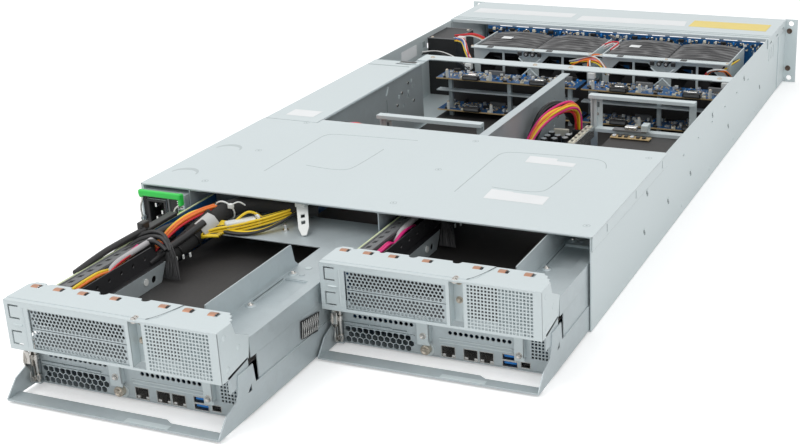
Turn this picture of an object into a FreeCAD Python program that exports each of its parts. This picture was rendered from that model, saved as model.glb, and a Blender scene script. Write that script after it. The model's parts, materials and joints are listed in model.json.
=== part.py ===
import FreeCAD, Part
import math
import os
from types import SimpleNamespace
import Sketcher

# A two-node 2U graphics server: a rack chassis with two tray nodes that slide out of the
# rear, two stacked power supplies beside them, four fans and a row of front drives.
# Row frame: +Z up, -Y towards the rear (the trays' I/O side), +Y towards the rack front,
# origin at the middle of the chassis floor's underside. All sizes are in millimetres.

SIZES = {
    # chassis shell
    "chassis_width": 448, "chassis_depth": 850, "chassis_height": 87.5,
    "wall_sheet": 1.2, "cover_sheet": 1.0, "cover_gap": 0.3, "seam_gap": 0.5,
    "flange_drop": 13, "flange_slot_length": 12, "flange_slot_height": 2.4, "flange_slot_drop": 7,
    "rear_cover_depth": 235, "rear_cover_notch": 11.5, "emboss_depth": 0.4, "emboss_band": 5,
    "emboss_width": 126, "emboss_length": 150, "emboss_corner": 14, "emboss_start": 30,
    "moon_left": 34, "moon_width": 14, "moon_inset": 60, "moon_pitch": 92,
    "front_cover_start": 727, "front_cover_lip": 3,
    "lance_start": 300, "lance_pitch": 62, "lance_length": 6, "lance_width": 2, "lance_height": 62,
    "wall_window_start": 640, "wall_window_pitch": 26, "wall_window": 7, "wall_window_height": 66,
    "wall_slot_height": 16, "wall_slot_width": 3, "wall_slot_pitch": 14, "wall_slot_inset": 34,
    # divider beside the power supplies, its cover, the partition and the crossbar
    "divider_sheet": 1.0, "divider_flange": 12, "psu_wall_length": 512, "psu_cover_length": 266,
    "partition_length": 496, "partition_flange": 7, "partition_back_flange": 2,
    "partition_tab": 7, "partition_tab_reach": 1.4, "partition_tab_drop": 27,
    "partition_hole_inset": 40, "partition_hole_low": 31,
    "wall_hole": 3.6, "wall_hole_start": 440, "wall_hole_pitch": 14, "wall_hole_low": 30,
    "wall_hole_rise": 9, "hook_start": 396, "hook_length": 16, "hook_low": 44, "hook_high": 60,
    "hook_slit": 2.4, "psu_cover_strip": 9, "psu_cover_notch": 5, "psu_cover_notch_depth": 30,
    "crossbar_start": 509, "crossbar_width": 21, "crossbar_lip": 1.5, "crossbar_foot": 14,
    "crossbar_foot_depth": 9,
    # circuit boards in front of the trays
    "board_sheet": 1.6, "bridge_start": 548, "bridge_depth": 40, "bridge_low": 10, "bridge_high": 52,
    "shelf_height": 36, "shelf_sheet": 1.5, "shelf_depth": 12, "post_width": 5, "bridge_margin": 2,
    "connector_reach": 4, "connector_height": 7, "connector_width": 44,
    "backplane_start": 712, "backplane_left": 62, "backplane_top": 86, "backplane_window": 66,
    "backplane_edge": 8, "backplane_window_low": 31,
    # fans
    "fan_size": 80, "fan_depth": 80, "fan_pitch": 82, "fan_bore": 76.6, "fan_hub": 38,
    "fan_tip_gap": 0.9, "fan_blade_sheet": 1.6, "fan_blade_count": 5, "fan_blade_sweep": 16,
    "fan_blade_inset": 1, "fan_blade_root": 3, "fan_rotor_depth": 30,
    "fan_rotor_inset": 6, "fan_motor_depth": 9, "fan_strut": 4, "fan_shaft": 5,
    "fan_shaft_gap": 0.05, "fan_start": 609.2, "fan_pair_1": 167, "fan_pair_2": 344,
    "fan_frame_sheet": 1.2, "fan_frame_height": 84, "fan_frame_flange": 12, "fan_window": 66,
    "fan_window_low": 12, "fan_window_high": 76, "fan_window_chamfer": 14, "fan_post": 3,
    "grommet_width": 6, "grommet_pitch": 10, "grommet_height": 80,
    # power supply bay
    "power_box_start": 643, "power_box_depth": 62, "power_box_width": 41, "power_box_height": 79,
    "psu_width": 50, "psu_height": 40, "psu_depth": 265, "psu_gap": 0.4, "psu_overhang": 6,
    "inlet_width": 21, "inlet_height": 27, "inlet_depth": 18, "inlet_left": 8,
    "inlet_rim": 2, "inlet_pin": 2, "inlet_pin_length": 12,
    "bail_reach": 14, "bail_arm": 2, "bail_arm_width": 6, "bail_grip": 9, "bail_grip_depth": 5,
    "bail_pivot_height": 14, "bail_seat_gap": 0.3, "bail_side_gap": 0.5,
    "bail_pin": 2, "bail_lug": 1.2, "bail_lug_width": 4,
    "psu_latch_stroke": 3, "psu_latch_width": 5, "psu_latch_height": 11, "psu_latch_reach": 7,
    "psu_latch_drop": 15.5, "psu_latch_seat": 2.7,
    # front drive cage
    "cage_start": 722, "cage_sheet": 1.0, "cage_height": 84, "grille_sheet": 1.2, "grille_edge": 4,
    "grille_hex": 20, "grille_pitch": 26, "grille_columns": 16,
    "carrier_width": 76, "carrier_height": 19, "carrier_depth": 118, "carrier_pitch": 106,
    "carrier_gap": 0.4, "bezel_depth": 4, "lever_height": 11, "lever_depth": 3, "lever_length": 62,
    "lever_pin": 2, "pin_gap": 0.05, "lever_inset": 6.8, "lever_pin_inset": 1.2, "lever_gap": 0.3,
    "lever_swing_gap": 1.8, "lever_back_gap": 0.7, "carrier_lid_gap": 2,
    # rack ears
    "rack_hole_span": 465.1, "rack_hole_rise": 76.2, "rack_hole": 7, "ear_reach": 17.3,
    "ear_sheet": 2.5, "ear_wing": 48, "ear_wing_sheet": 1.2, "ear_wing_low": 2,
    # tray nodes
    "tray_width": 195, "tray_length": 520, "tray_sheet": 1.0, "tray_lift": 0.3,
    "tray_side_gap": 0.7, "tray_travel_left": 255, "tray_travel_right": 111.5,
    "side_band": 24.5, "side_height": 45.5, "handle_reach": 35, "handle_width": 14,
    "handle_sheet": 1.5, "handle_narrow": 10, "handle_narrow_start": 140, "handle_bevel": 6,
    "arm_top": 40.5, "arm_top_rear": 3, "arm_top_front": 18, "arm_step": 2, "side_start": 26,
    "arm_window_start": 8, "arm_window": 6, "arm_window_low": 20,
    "bracket_reach": 23, "bracket_low": 42, "bracket_high": 84, "bracket_roof": 12,
    "spring_width": 8, "spring_length": 8.5, "spring_start": 0.5, "scallop_radius": 4,
    "cheek_rear": 3.5, "cheek_front": 18, "cheek_step": 2, "cheek_top": 1,
    "slit_left": 4.5, "slit_width": 10, "slit_height": 11, "slit_cut": 1, "slit_rise": 3,
    "bracket_sheet": 1.0, "slot_left": 23, "slot_right": 113, "slot_low": 44, "slot_high": 78,
    "channel_left": 116, "channel_right": 128, "channel_depth": 10,
    "vent_hole": 4.6, "vent_pitch": 7.2, "vent_columns": 8, "vent_rows": 5,
    "cover_hex": 6, "cover_pitch": 8.6, "cover_columns": 10, "cover_edge": 4.8,
    "deck_height": 41, "deck_sheet": 0.8, "deck_left": 21, "deck_rear": 2, "deck_front_left": 85,
    "deck_step": 300, "deck_leg_width": 30, "deck_leg_inset": 4, "deck_leg_rear": 40,
    "deck_leg_middle": 220, "deck_leg_front": 430,
    "duct_height": 62.4, "duct_left": 157, "duct_rear": 18, "duct_window": 195, "duct_length": 260,
    "duct_wall_top": 84, "duct_wall_length": 140, "cup_rise": 8,
    "pocket_left": 160, "pocket_right": 185, "pocket_start": 75, "pocket_length": 51,
    "riser_left": 6, "riser_start": 12, "riser_length": 250, "riser_height": 74,
    "riser_slot_start": 40, "riser_slot_length": 90, "riser_slot_depth": 8, "riser_slot_height": 8,
    "rail_left": 31, "rail_width": 12, "rail_height": 52,
    "motherboard_height": 7, "motherboard_inset": 6, "standoff_width": 6,
    "standoff_inset": 9, "board_rear_gap": 3,
    "frame_left": 54, "frame_foot": 8, "frame_right": 178, "frame_bar": 10, "frame_bar_height": 4,
    "frame_low_height": 4, "frame_leg": 2,
    "port_depth": 13, "port_high": 14.5, "port_left": 92, "port_right": 176,
    "jack_width": 11.8, "jack_low": 3.4, "jack_high": 12.8,
    "flat_left": 151, "flat_width": 12.5, "flat_height": 4.6, "flat_rise": 6,
    "video_left": 167, "video_width": 7.6, "video_low": 4.6,
    "panel_hex_left": 10, "panel_hex_low": 4.5, "panel_columns": 9, "panel_drop": 2,
    "left_tab": 76.5, "left_tab_width": 11.5, "right_tab": 162.5, "right_tab_width": 8.7,
    "tab_low": 13.5, "tab_high": 39, "tab_reach": 4, "rib_low": 15.6, "rib_step": 3, "rib_reach": 0.7,
    "latch_slot": 7.6, "lug_sheet": 1.4, "latch_lip": 6, "latch_step": 7,
    "latch_low": 5, "latch_high": 39, "latch_reach": 14, "latch_sheet": 1.2,
    "latch_left": 3, "latch_pin": 3, "latch_pin_inset": 3, "latch_pin_reach": 4,
    "screw_head": 9, "screw_head_depth": 6, "screw_shank": 4, "screw_left": 84, "screw_height": 7,
    "screw_length": 7, "screw_seat": 0.3,
    "trunk_width": 14, "trunk_start": 30, "trunk_length": 180, "trunk_left": 16.2,
}


LANCE_COUNT = 6
SOCKET_SHARES = (0.25, 0.72)   # across a bridge board, as shares of a tray's width
POST_SHARES = (0.08, 0.5, 0.92)
PIN_SHARES = ((0.35, 0.25), (0.35, 0.75), (0.65, 0.5))   # inlet pins, as shares of the inlet
HANDLE_CURVE = ((-23, 15.8), (-7.4, 21.6), (-4.3, 26.3))   # rear edge of a handle's arm
JACK_LEFTS = (97, 117, 131)   # network jacks across a tray
SPRING_MIDDLES = (9.2, 30.8, 54, 84.3, 128.8, 150.7, 172.8)   # contact springs across a tray
SCALLOP_MIDDLES = (42, 70, 109, 185)   # finger reliefs in the bracket's roof
FLANGE_SLOTS = (0.15, 0.5, 0.85)   # along a cover, as shares of its depth
HEX_RISE = math.sqrt(3) / 2   # row spacing of staggered holes, as a share of their pitch


class Size:
    """A length that carries both its number and the spreadsheet formula that gives it."""

    def __init__(self, number, formula):
        self.number = number
        self.formula = formula

    def __add__(self, other):
        other = size(other)
        return Size(self.number + other.number, f"({self.formula} + {other.formula})")

    def __sub__(self, other):
        other = size(other)
        return Size(self.number - other.number, f"({self.formula} - {other.formula})")

    def __mul__(self, other):
        other = size(other)
        return Size(self.number * other.number, f"({self.formula} * {other.formula})")

    def __truediv__(self, other):
        other = size(other)
        return Size(self.number / other.number, f"({self.formula} / {other.formula})")

    def __neg__(self):
        return size(0) - self

    def __radd__(self, other):
        return size(other) + self

    def __rsub__(self, other):
        return size(other) - self

    def __rmul__(self, other):
        return size(other) * self


def size(value):
    if isinstance(value, Size):
        return value
    return Size(float(value), f"{float(value):.9g}")


doc = FreeCAD.newDocument("rack_server")


def fill_sheet():
    sheet = doc.addObject("Spreadsheet::Sheet", "sizes")
    for row, (alias, number) in enumerate(SIZES.items(), start=1):
        sheet.set(f"A{row}", alias)
        sheet.set(f"B{row}", str(number))
        sheet.setAlias(f"B{row}", alias)
    doc.recompute()
    cells = {alias: Size(float(sheet.get(alias)), f"sizes.{alias}") for alias in SIZES}
    return SimpleNamespace(**cells)


d = fill_sheet()
nodes = []


# ---- modelling helpers -------------------------------------------------------------------

def bind(thing, prop, value):
    thing.setExpression(prop, size(value).formula)


def node(name, piece):
    piece.Label = name
    nodes.append(piece)
    return piece


def box(name, across, along, up):
    piece = doc.addObject("Part::Box", name)
    for side, axis, (low, high) in zip(("Length", "Width", "Height"), "xyz", (across, along, up)):
        bind(piece, side, size(high) - low)
        bind(piece, f"Placement.Base.{axis}", low)
    return piece


TURNS = {
    "x": FreeCAD.Rotation(FreeCAD.Vector(0, 1, 0), 90),
    "y": FreeCAD.Rotation(FreeCAD.Vector(1, 0, 0), -90),
    "z": FreeCAD.Rotation(),
}


def cylinder(name, start, radius, length, axis):
    piece = doc.addObject("Part::Cylinder", name)
    piece.Placement = FreeCAD.Placement(FreeCAD.Vector(), TURNS[axis])
    bind(piece, "Radius", radius)
    bind(piece, "Height", length)
    for letter, value in zip("xyz", start):
        bind(piece, f"Placement.Base.{letter}", value)
    return piece


def fuse(name, pieces):
    piece = doc.addObject("Part::MultiFuse", name)
    piece.Shapes = pieces
    piece.Refine = True
    return piece


def group(name, pieces):
    piece = doc.addObject("Part::Compound", name)
    piece.Links = pieces
    return piece


def cut(name, base, tools):
    piece = doc.addObject("Part::Cut", name)
    piece.Base = base
    piece.Tool = tools[0] if len(tools) == 1 else group(f"{name}_tools", tools)
    return piece


PLANE_SIGN = {"XY_Plane": 1, "XZ_Plane": -1, "YZ_Plane": 1}


def sketch_on(body, plane, name, offset):
    sketch = body.newObject("Sketcher::SketchObject", name)
    support = next(item for item in body.Origin.OriginFeatures if item.Role == plane)
    sketch.AttachmentSupport = (support, "")
    sketch.MapMode = "FlatFace"
    bind(sketch, "AttachmentOffset.Base.z", size(offset) * PLANE_SIGN[plane])
    return sketch


def outline(sketch, points):
    """Closed outline in a sketch, each corner held by two distances from the origin."""
    points = [(size(first), size(second)) for first, second in points]
    start = sketch.GeometryCount
    corners = [FreeCAD.Vector(first.number, second.number, 0) for first, second in points]
    for index, corner in enumerate(corners):
        following = corners[(index + 1) % len(corners)]
        sketch.addGeometry(Part.LineSegment(corner, following), False)
    for index in range(len(points)):
        following = start + (index + 1) % len(points)
        sketch.addConstraint(Sketcher.Constraint("Coincident", start + index, 2, following, 1))
    for index, point in enumerate(points):
        for kind, value in zip(("DistanceX", "DistanceY"), point):
            place = Sketcher.Constraint(kind, -1, 1, start + index, 1, value.number)
            number = sketch.addConstraint(place)
            bind(sketch, f"Constraints[{number}]", value)


def circle(sketch, centre, radius):
    centre = [size(value) for value in centre]
    radius = size(radius)
    middle = FreeCAD.Vector(centre[0].number, centre[1].number, 0)
    index = sketch.addGeometry(Part.Circle(middle, FreeCAD.Vector(0, 0, 1), radius.number), False)
    for kind, value in zip(("DistanceX", "DistanceY"), centre):
        number = sketch.addConstraint(Sketcher.Constraint(kind, -1, 1, index, 3, value.number))
        bind(sketch, f"Constraints[{number}]", value)
    number = sketch.addConstraint(Sketcher.Constraint("Radius", index, radius.number))
    bind(sketch, f"Constraints[{number}]", radius)


def rectangle(across, up):
    return [(across[0], up[0]), (across[1], up[0]), (across[1], up[1]), (across[0], up[1])]


def hexagon(across, up, width):
    turns = [math.pi / 6 + side * math.pi / 3 for side in range(6)]
    reach = width / math.sqrt(3)
    return [(across + reach * math.cos(turn), up + reach * math.sin(turn)) for turn in turns]


def prism(name, plane, reach, outer, holes=(), rounds=()):
    """A body padded from one plane to another, with polygon holes and round holes through it."""
    body = doc.addObject("PartDesign::Body", name)
    sketch = sketch_on(body, plane, f"{name}_sketch", reach[0])
    outline(sketch, outer)
    for hole in holes:
        outline(sketch, hole)
    for centre, radius in rounds:
        circle(sketch, centre, radius)
    pad = body.newObject("PartDesign::Pad", f"{name}_pad")
    pad.Profile = sketch
    pad.Reversed = PLANE_SIGN[plane] < 0
    bind(pad, "Length", size(reach[1]) - reach[0])
    return body


def hole_rows(body, plane, offset, cell, columns, pitch, rows=1, rise=0):
    """Cuts the outlines in cell through a body and repeats them along both sketch axes."""
    doc.recompute()
    before = body.Shape.Volume
    sketch = sketch_on(body, plane, f"{body.Name}_holes", offset)
    for hole in cell:
        outline(sketch, hole)
    pocket = body.newObject("PartDesign::Pocket", f"{body.Name}_pocket")
    pocket.Profile = sketch
    pocket.Type = "ThroughAll"
    pocket.Midplane = True
    rows_of_holes = body.newObject("PartDesign::LinearPattern", f"{body.Name}_rows")
    rows_of_holes.Originals = [pocket]
    rows_of_holes.Direction = (sketch, ["H_Axis"])
    bind(rows_of_holes, "Length", size(pitch) * (columns - 1))
    rows_of_holes.Occurrences = columns
    if rows > 1:
        rows_of_holes.Direction2 = (sketch, ["V_Axis"])
        bind(rows_of_holes, "Length2", size(rise) * (rows - 1))
        rows_of_holes.Occurrences2 = rows
    body.Tip = rows_of_holes
    doc.recompute()
    if body.Shape.Volume >= before:
        raise ValueError(f"the holes of {body.Name} cut nothing")


# ---- lines that several pieces share -----------------------------------------------------

left = -d.chassis_width / 2
right = d.chassis_width / 2
rear = -d.chassis_depth / 2
front = d.chassis_depth / 2
floor_top = d.wall_sheet
wall_top = d.chassis_height - d.cover_sheet
inner_left = left + d.wall_sheet
inner_right = right - d.wall_sheet

right_tray = inner_right - d.tray_side_gap - d.tray_width
partition_right = right_tray - d.tray_side_gap
partition_left = partition_right - d.divider_sheet
left_tray = partition_left - d.tray_side_gap - d.tray_width
psu_wall_right = left_tray - d.tray_side_gap
psu_wall_left = psu_wall_right - d.divider_sheet
tray_floor = floor_top + d.tray_lift


# ---- chassis -----------------------------------------------------------------------------

def chassis_base():
    profile = [(left, 0), (right, 0), (right, wall_top), (inner_right, wall_top),
               (inner_right, floor_top), (inner_left, floor_top), (inner_left, wall_top),
               (left, wall_top)]
    shell = prism("base_shell", "XZ_Plane", (rear, front), profile)
    slots = []
    for wall_left in (left, inner_right):
        through = (wall_left - 1, wall_left + d.wall_sheet + 1)
        for index in range(3):
            start = front - d.wall_slot_inset - d.wall_slot_pitch * index - d.ear_wing
            slots.append(box("wall_slot", through, (start, start + d.wall_slot_width),
                             (wall_top - 2 * d.wall_slot_height, wall_top - d.wall_slot_height)))
    for index in range(LANCE_COUNT):
        start = rear + d.lance_start + d.lance_pitch * index
        slots.append(box("wall_lance", (inner_right - 1, right + 1),
                         (start, start + d.lance_length),
                         (d.lance_height, d.lance_height + d.lance_width)))
    for index in range(2):
        start = rear + d.wall_window_start + d.wall_window_pitch * index
        slots.append(box("wall_window", (left - 1, inner_left + 1), (start, start + d.wall_window),
                         (d.wall_window_height, d.wall_window_height + d.wall_window)))
    node("chassis_base", cut("base_cut", shell, slots))


def cover(name, start, stop, notch):
    """A top cover whose flanges hook over the outside of both chassis walls."""
    flange_left = left - d.cover_gap
    flange_right = right + d.cover_gap
    low = d.chassis_height - d.flange_drop
    profile = [(flange_left - d.cover_sheet, low), (flange_left, low), (flange_left, wall_top),
               (flange_right, wall_top), (flange_right, low), (flange_right + d.cover_sheet, low),
               (flange_right + d.cover_sheet, d.chassis_height),
               (flange_left - d.cover_sheet, d.chassis_height)]
    shell = prism(f"{name}_shell", "XZ_Plane", (start, stop), profile)
    slot_top = d.chassis_height - d.flange_slot_drop
    tools = []
    for wall in (flange_left - d.cover_sheet, flange_right):
        for share in FLANGE_SLOTS:
            middle = start + (stop - start) * share
            tools.append(box(f"{name}_slot", (wall - 1, wall + d.cover_sheet + 1),
                             (middle - d.flange_slot_length / 2, middle + d.flange_slot_length / 2),
                             (slot_top - d.flange_slot_height, slot_top)))
    return shell, tools + notch


def emboss_ring(name, middle, start):
    """A shallow stamped band that follows a rectangle with cut corners."""
    rings = []
    for inset in (0, d.emboss_band):
        reach = d.emboss_width / 2 - inset
        low = start + inset
        high = start + d.emboss_length - inset
        bevel = d.emboss_corner
        rings.append([(middle - reach + bevel, low), (middle + reach - bevel, low),
                      (middle + reach, low + bevel), (middle + reach, high - bevel),
                      (middle + reach - bevel, high), (middle - reach + bevel, high),
                      (middle - reach, high - bevel), (middle - reach, low + bevel)])
    return prism(name, "XY_Plane", (d.chassis_height - d.emboss_depth, d.chassis_height + 1),
                 rings[0], rings[1:])


def covers():
    stop = rear + d.rear_cover_depth
    notch = [box("rear_cover_notch", (left - d.divider_flange, psu_wall_right + d.divider_flange),
                 (stop - d.rear_cover_notch, stop + 1),
                 (wall_top - d.flange_drop, d.chassis_height + 1))]
    for name, tray_left in (("left_emboss", left_tray), ("right_emboss", right_tray)):
        notch.append(emboss_ring(name, tray_left + d.tray_width / 2, rear + d.emboss_start))
    for index in range(2):
        middle = stop - d.moon_inset - d.moon_pitch * index
        moon = cylinder("cover_moon", (left + d.moon_left, middle, d.chassis_height - d.emboss_depth),
                        d.moon_width / 2, d.emboss_depth + 1, "z")
        half = box("moon_half", (left + d.moon_left - d.moon_width, left + d.moon_left + d.moon_width),
                   (middle, middle + d.moon_width), (wall_top, d.chassis_height + 2))
        notch.append(cut("half_moon", moon, [half]))
    node("rear_cover", cut("rear_cover_cut", *cover("rear_cover", rear, stop, notch)))

    start = rear + d.front_cover_start
    shell, slots = cover("front_cover", start, front - d.ear_sheet - d.seam_gap, [])
    lip = box("front_cover_lip", (inner_left + 1, inner_right - 1), (start, start + d.cover_sheet),
              (wall_top - d.front_cover_lip, wall_top))
    node("front_cover", cut("front_cover_cut", fuse("front_cover_sheet", [shell, lip]), slots))


def dividers():
    stop = rear + d.psu_wall_length
    first = rear + d.wall_hole_start
    holes = [rectangle((first + d.wall_hole_pitch * index,
                        first + d.wall_hole_pitch * index + d.wall_hole),
                       (d.wall_hole_low + d.wall_hole_rise * index,
                        d.wall_hole_low + d.wall_hole_rise * index + d.wall_hole))
             for index in range(4)]
    hook = rear + d.hook_start
    holes.append([(hook, d.hook_low), (hook + d.hook_length, d.hook_low),
                  (hook + d.hook_length, d.hook_high),
                  (hook + d.hook_length - d.hook_slit, d.hook_high),
                  (hook + d.hook_length - d.hook_slit, d.hook_low + d.hook_slit),
                  (hook, d.hook_low + d.hook_slit)])
    sheet = prism("psu_wall_sheet", "YZ_Plane", (psu_wall_left, psu_wall_right),
                  rectangle((rear, stop), (floor_top, wall_top)), holes)
    flange = box("psu_wall_flange", (psu_wall_left, psu_wall_right + d.divider_flange),
                 (rear, stop), (wall_top - d.divider_sheet, wall_top))
    node("psu_tunnel_wall", fuse("psu_wall", [sheet, flange]))

    start = rear + d.rear_cover_depth - d.rear_cover_notch + d.seam_gap
    stop = start + d.psu_cover_length
    reach = psu_wall_right + d.divider_flange - 1
    notch = (stop - d.psu_cover_strip - d.psu_cover_notch, stop - d.psu_cover_strip)
    strips = [(left, start), (reach, start), (reach, notch[0]),
              (reach - d.psu_cover_notch_depth, notch[0]), (reach - d.psu_cover_notch_depth, notch[1]),
              (reach, notch[1]), (reach, stop), (left, stop)]
    node("psu_tunnel_cover", prism("psu_cover", "XY_Plane", (wall_top, d.chassis_height), strips))

    stop = rear + d.partition_length
    profile = [(rear, floor_top), (stop, floor_top), (stop, wall_top)]
    for step in (1, 2):
        tab_top = wall_top - d.partition_tab_drop * step
        profile[2:2] = [(stop, tab_top - d.partition_tab), (stop + d.partition_tab_reach,
                                                            tab_top - d.partition_tab),
                        (stop + d.partition_tab_reach, tab_top), (stop, tab_top)]
    profile.append((rear, wall_top))
    inset = stop - d.partition_hole_inset
    holes = [rectangle((inset - along, inset - along + d.wall_hole), (low, low + d.wall_hole))
             for along, low in ((0, d.partition_hole_low), (0, 2 * d.partition_hole_low),
                                (d.partition_hole_low, d.partition_hole_low))]
    sheet = prism("partition_sheet", "YZ_Plane", (partition_left, partition_right), profile, holes)
    flange = box("partition_flange",
                 (partition_left - d.partition_back_flange, partition_right + d.partition_flange),
                 (rear, stop), (wall_top - d.divider_sheet, wall_top))
    node("centre_partition", fuse("partition", [sheet, flange]))


def crossbar():
    start = rear + d.crossbar_start
    stop = start + d.crossbar_width
    bar_left = psu_wall_left
    top = box("crossbar_top", (bar_left, right), (start, stop), (wall_top, d.chassis_height))
    lips = [box("crossbar_lip", (psu_wall_right + 1, inner_right - 1), (edge, edge + d.cover_sheet),
                (wall_top - d.crossbar_lip, wall_top))
            for edge in (rear + d.psu_wall_length + 1, stop - d.cover_sheet)]
    foot = box("crossbar_foot", (bar_left, bar_left + d.crossbar_foot),
               (start - d.crossbar_foot_depth + 2, start), (wall_top, d.chassis_height))
    node("mid_crossbar", fuse("crossbar", [top, foot] + lips))


def bridge_boards():
    """Two decks of bridge boards ahead of each tray, on posts, with a shelf between them."""
    start = rear + d.bridge_start
    stop = start + d.bridge_depth
    boards, shelves = [], []
    for side, tray_left in (("left", left_tray), ("right", right_tray)):
        reach = (tray_left + d.bridge_margin, tray_left + d.tray_width - d.bridge_margin)
        for level, low in (("low", d.bridge_low), ("high", d.bridge_high)):
            board = box(f"{side}_{level}_board", reach, (start, stop), (low, low + d.board_sheet))
            sockets = []
            for share in SOCKET_SHARES:
                middle = tray_left + d.tray_width * share
                sockets.append(box(f"{side}_{level}_socket",
                                   (middle - d.connector_width / 2, middle + d.connector_width / 2),
                                   (start - d.connector_reach, start + d.connector_height),
                                   (low + d.board_sheet, low + d.board_sheet + d.connector_height)))
            boards.append(fuse(f"{side}_{level}_deck", [board] + sockets))
        shelf = box(f"{side}_shelf", reach, (start, start + d.shelf_depth),
                    (d.shelf_height, d.shelf_height + d.shelf_sheet))
        posts = []
        for share in POST_SHARES:
            post_left = tray_left + d.tray_width * share
            across = (post_left, post_left + d.post_width)
            along = (start + d.connector_height + 1, start + d.connector_height + 1 + d.post_width)
            posts.append(box(f"{side}_post", across, along, (d.shelf_height, d.bridge_high)))
            posts.append(box(f"{side}_leg", across, along,
                             (d.bridge_low + d.board_sheet, d.shelf_height)))
            posts.append(box(f"{side}_foot", across, along, (floor_top, d.bridge_low)))
        uppers = fuse(f"{side}_shelf_frame", [shelf] + [p for p in posts if "foot" not in p.Name])
        shelves.append(uppers)
        shelves.extend(post for post in posts if "foot" in post.Name)
    node("bridge_boards", group("boards", boards))
    node("bridge_shelves", group("shelves", shelves))


def backplane():
    windows = []
    centres = [left + pair + d.fan_pitch * shift
               for pair in (d.fan_pair_1, d.fan_pair_2) for shift in (-0.5, 0.5)]
    for middle in centres:
        windows.append(rectangle((middle - d.backplane_window / 2, middle + d.backplane_window / 2),
                                 (d.backplane_window_low, d.backplane_top - 2 * d.backplane_edge)))
    start = rear + d.backplane_start
    node("backplane", prism("backplane_board", "XZ_Plane", (start, start + d.board_sheet),
                            rectangle((left + d.backplane_left, inner_right - 1),
                                      (floor_top, d.backplane_top)), windows))


# ---- fans --------------------------------------------------------------------------------

def fan_centres():
    for pair in (d.fan_pair_1, d.fan_pair_2):
        for shift in (-0.5, 0.5):
            yield left + pair + d.fan_pitch * shift


fan_rear = rear + d.fan_start
fan_axis_height = tray_floor + d.fan_size / 2


def fan_frame():
    """Folded sheet behind each fan pair: a window and post per fan, grommets between them."""
    panels = []
    for index, pair in enumerate((d.fan_pair_1, d.fan_pair_2), start=1):
        middle = left + pair
        reach = d.fan_pitch / 2 + d.fan_size / 2 + d.fan_frame_sheet
        windows = []
        for shift in (-0.5, 0.5):
            centre = middle + d.fan_pitch * shift
            for side in (-1, 1):
                inner = centre + d.fan_post / 2 * side
                outer = centre + d.fan_window / 2 * side
                bevel = d.fan_window_chamfer * side
                corners = [(inner, d.fan_window_low), (outer, d.fan_window_low),
                           (outer, d.fan_window_high - d.fan_window_chamfer),
                           (outer - bevel, d.fan_window_high), (inner, d.fan_window_high)]
                windows.append(corners)
        grommets = [((middle + d.grommet_pitch * shift, d.grommet_height), d.grommet_width / 2)
                    for shift in (-0.5, 0.5)]
        panel = prism(f"fan_panel_{index}", "XZ_Plane", (fan_rear - d.fan_frame_sheet, fan_rear),
                      rectangle((middle - reach, middle + reach), (floor_top, d.fan_frame_height)),
                      windows, grommets)
        flange = box(f"fan_flange_{index}", (middle - reach, middle + reach),
                     (fan_rear - d.fan_frame_flange, fan_rear - d.fan_frame_sheet),
                     (d.fan_frame_height - d.fan_frame_sheet, d.fan_frame_height))
        cheeks = [box(f"fan_cheek_{index}", (edge, edge + d.fan_frame_sheet),
                      (fan_rear, fan_rear + d.fan_depth), (floor_top, d.fan_frame_height))
                  for edge in (middle - reach, middle + reach - d.fan_frame_sheet)]
        panels.extend([panel, flange] + cheeks)
    node("fan_frame", group("fan_frames", panels))


def fan_housings():
    housings = []
    for index, centre in enumerate(fan_centres(), start=1):
        reach = d.fan_size / 2
        shell = prism(f"fan_shell_{index}", "XZ_Plane", (fan_rear, fan_rear + d.fan_depth),
                      rectangle((centre - reach, centre + reach), (tray_floor, tray_floor + d.fan_size)),
                      rounds=[((centre, fan_axis_height), d.fan_bore / 2)])
        motor_start = fan_rear + d.fan_rotor_inset + d.fan_rotor_depth + 1
        motor = cylinder(f"fan_motor_{index}", (centre, motor_start, fan_axis_height),
                         d.fan_hub / 2, d.fan_motor_depth, "y")
        shaft = cylinder(f"fan_shaft_{index}",
                         (centre, fan_rear + d.fan_rotor_inset + 2, fan_axis_height),
                         d.fan_shaft / 2, d.fan_rotor_depth, "y")
        bars = [box(f"fan_bar_{index}", (centre - d.fan_strut / 2, centre + d.fan_strut / 2),
                    (motor_start + 2, motor_start + d.fan_motor_depth),
                    (fan_axis_height - d.fan_bore / 2 - 0.5, fan_axis_height + d.fan_bore / 2 + 0.5)),
                box(f"fan_crossbar_{index}",
                    (centre - d.fan_bore / 2 - 0.5, centre + d.fan_bore / 2 + 0.5),
                    (motor_start + 2, motor_start + d.fan_motor_depth),
                    (fan_axis_height - d.fan_strut / 2, fan_axis_height + d.fan_strut / 2))]
        housings.append(fuse(f"fan_housing_{index}", [shell, motor, shaft] + bars))
    node("fan_housings", group("housings", housings))


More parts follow.
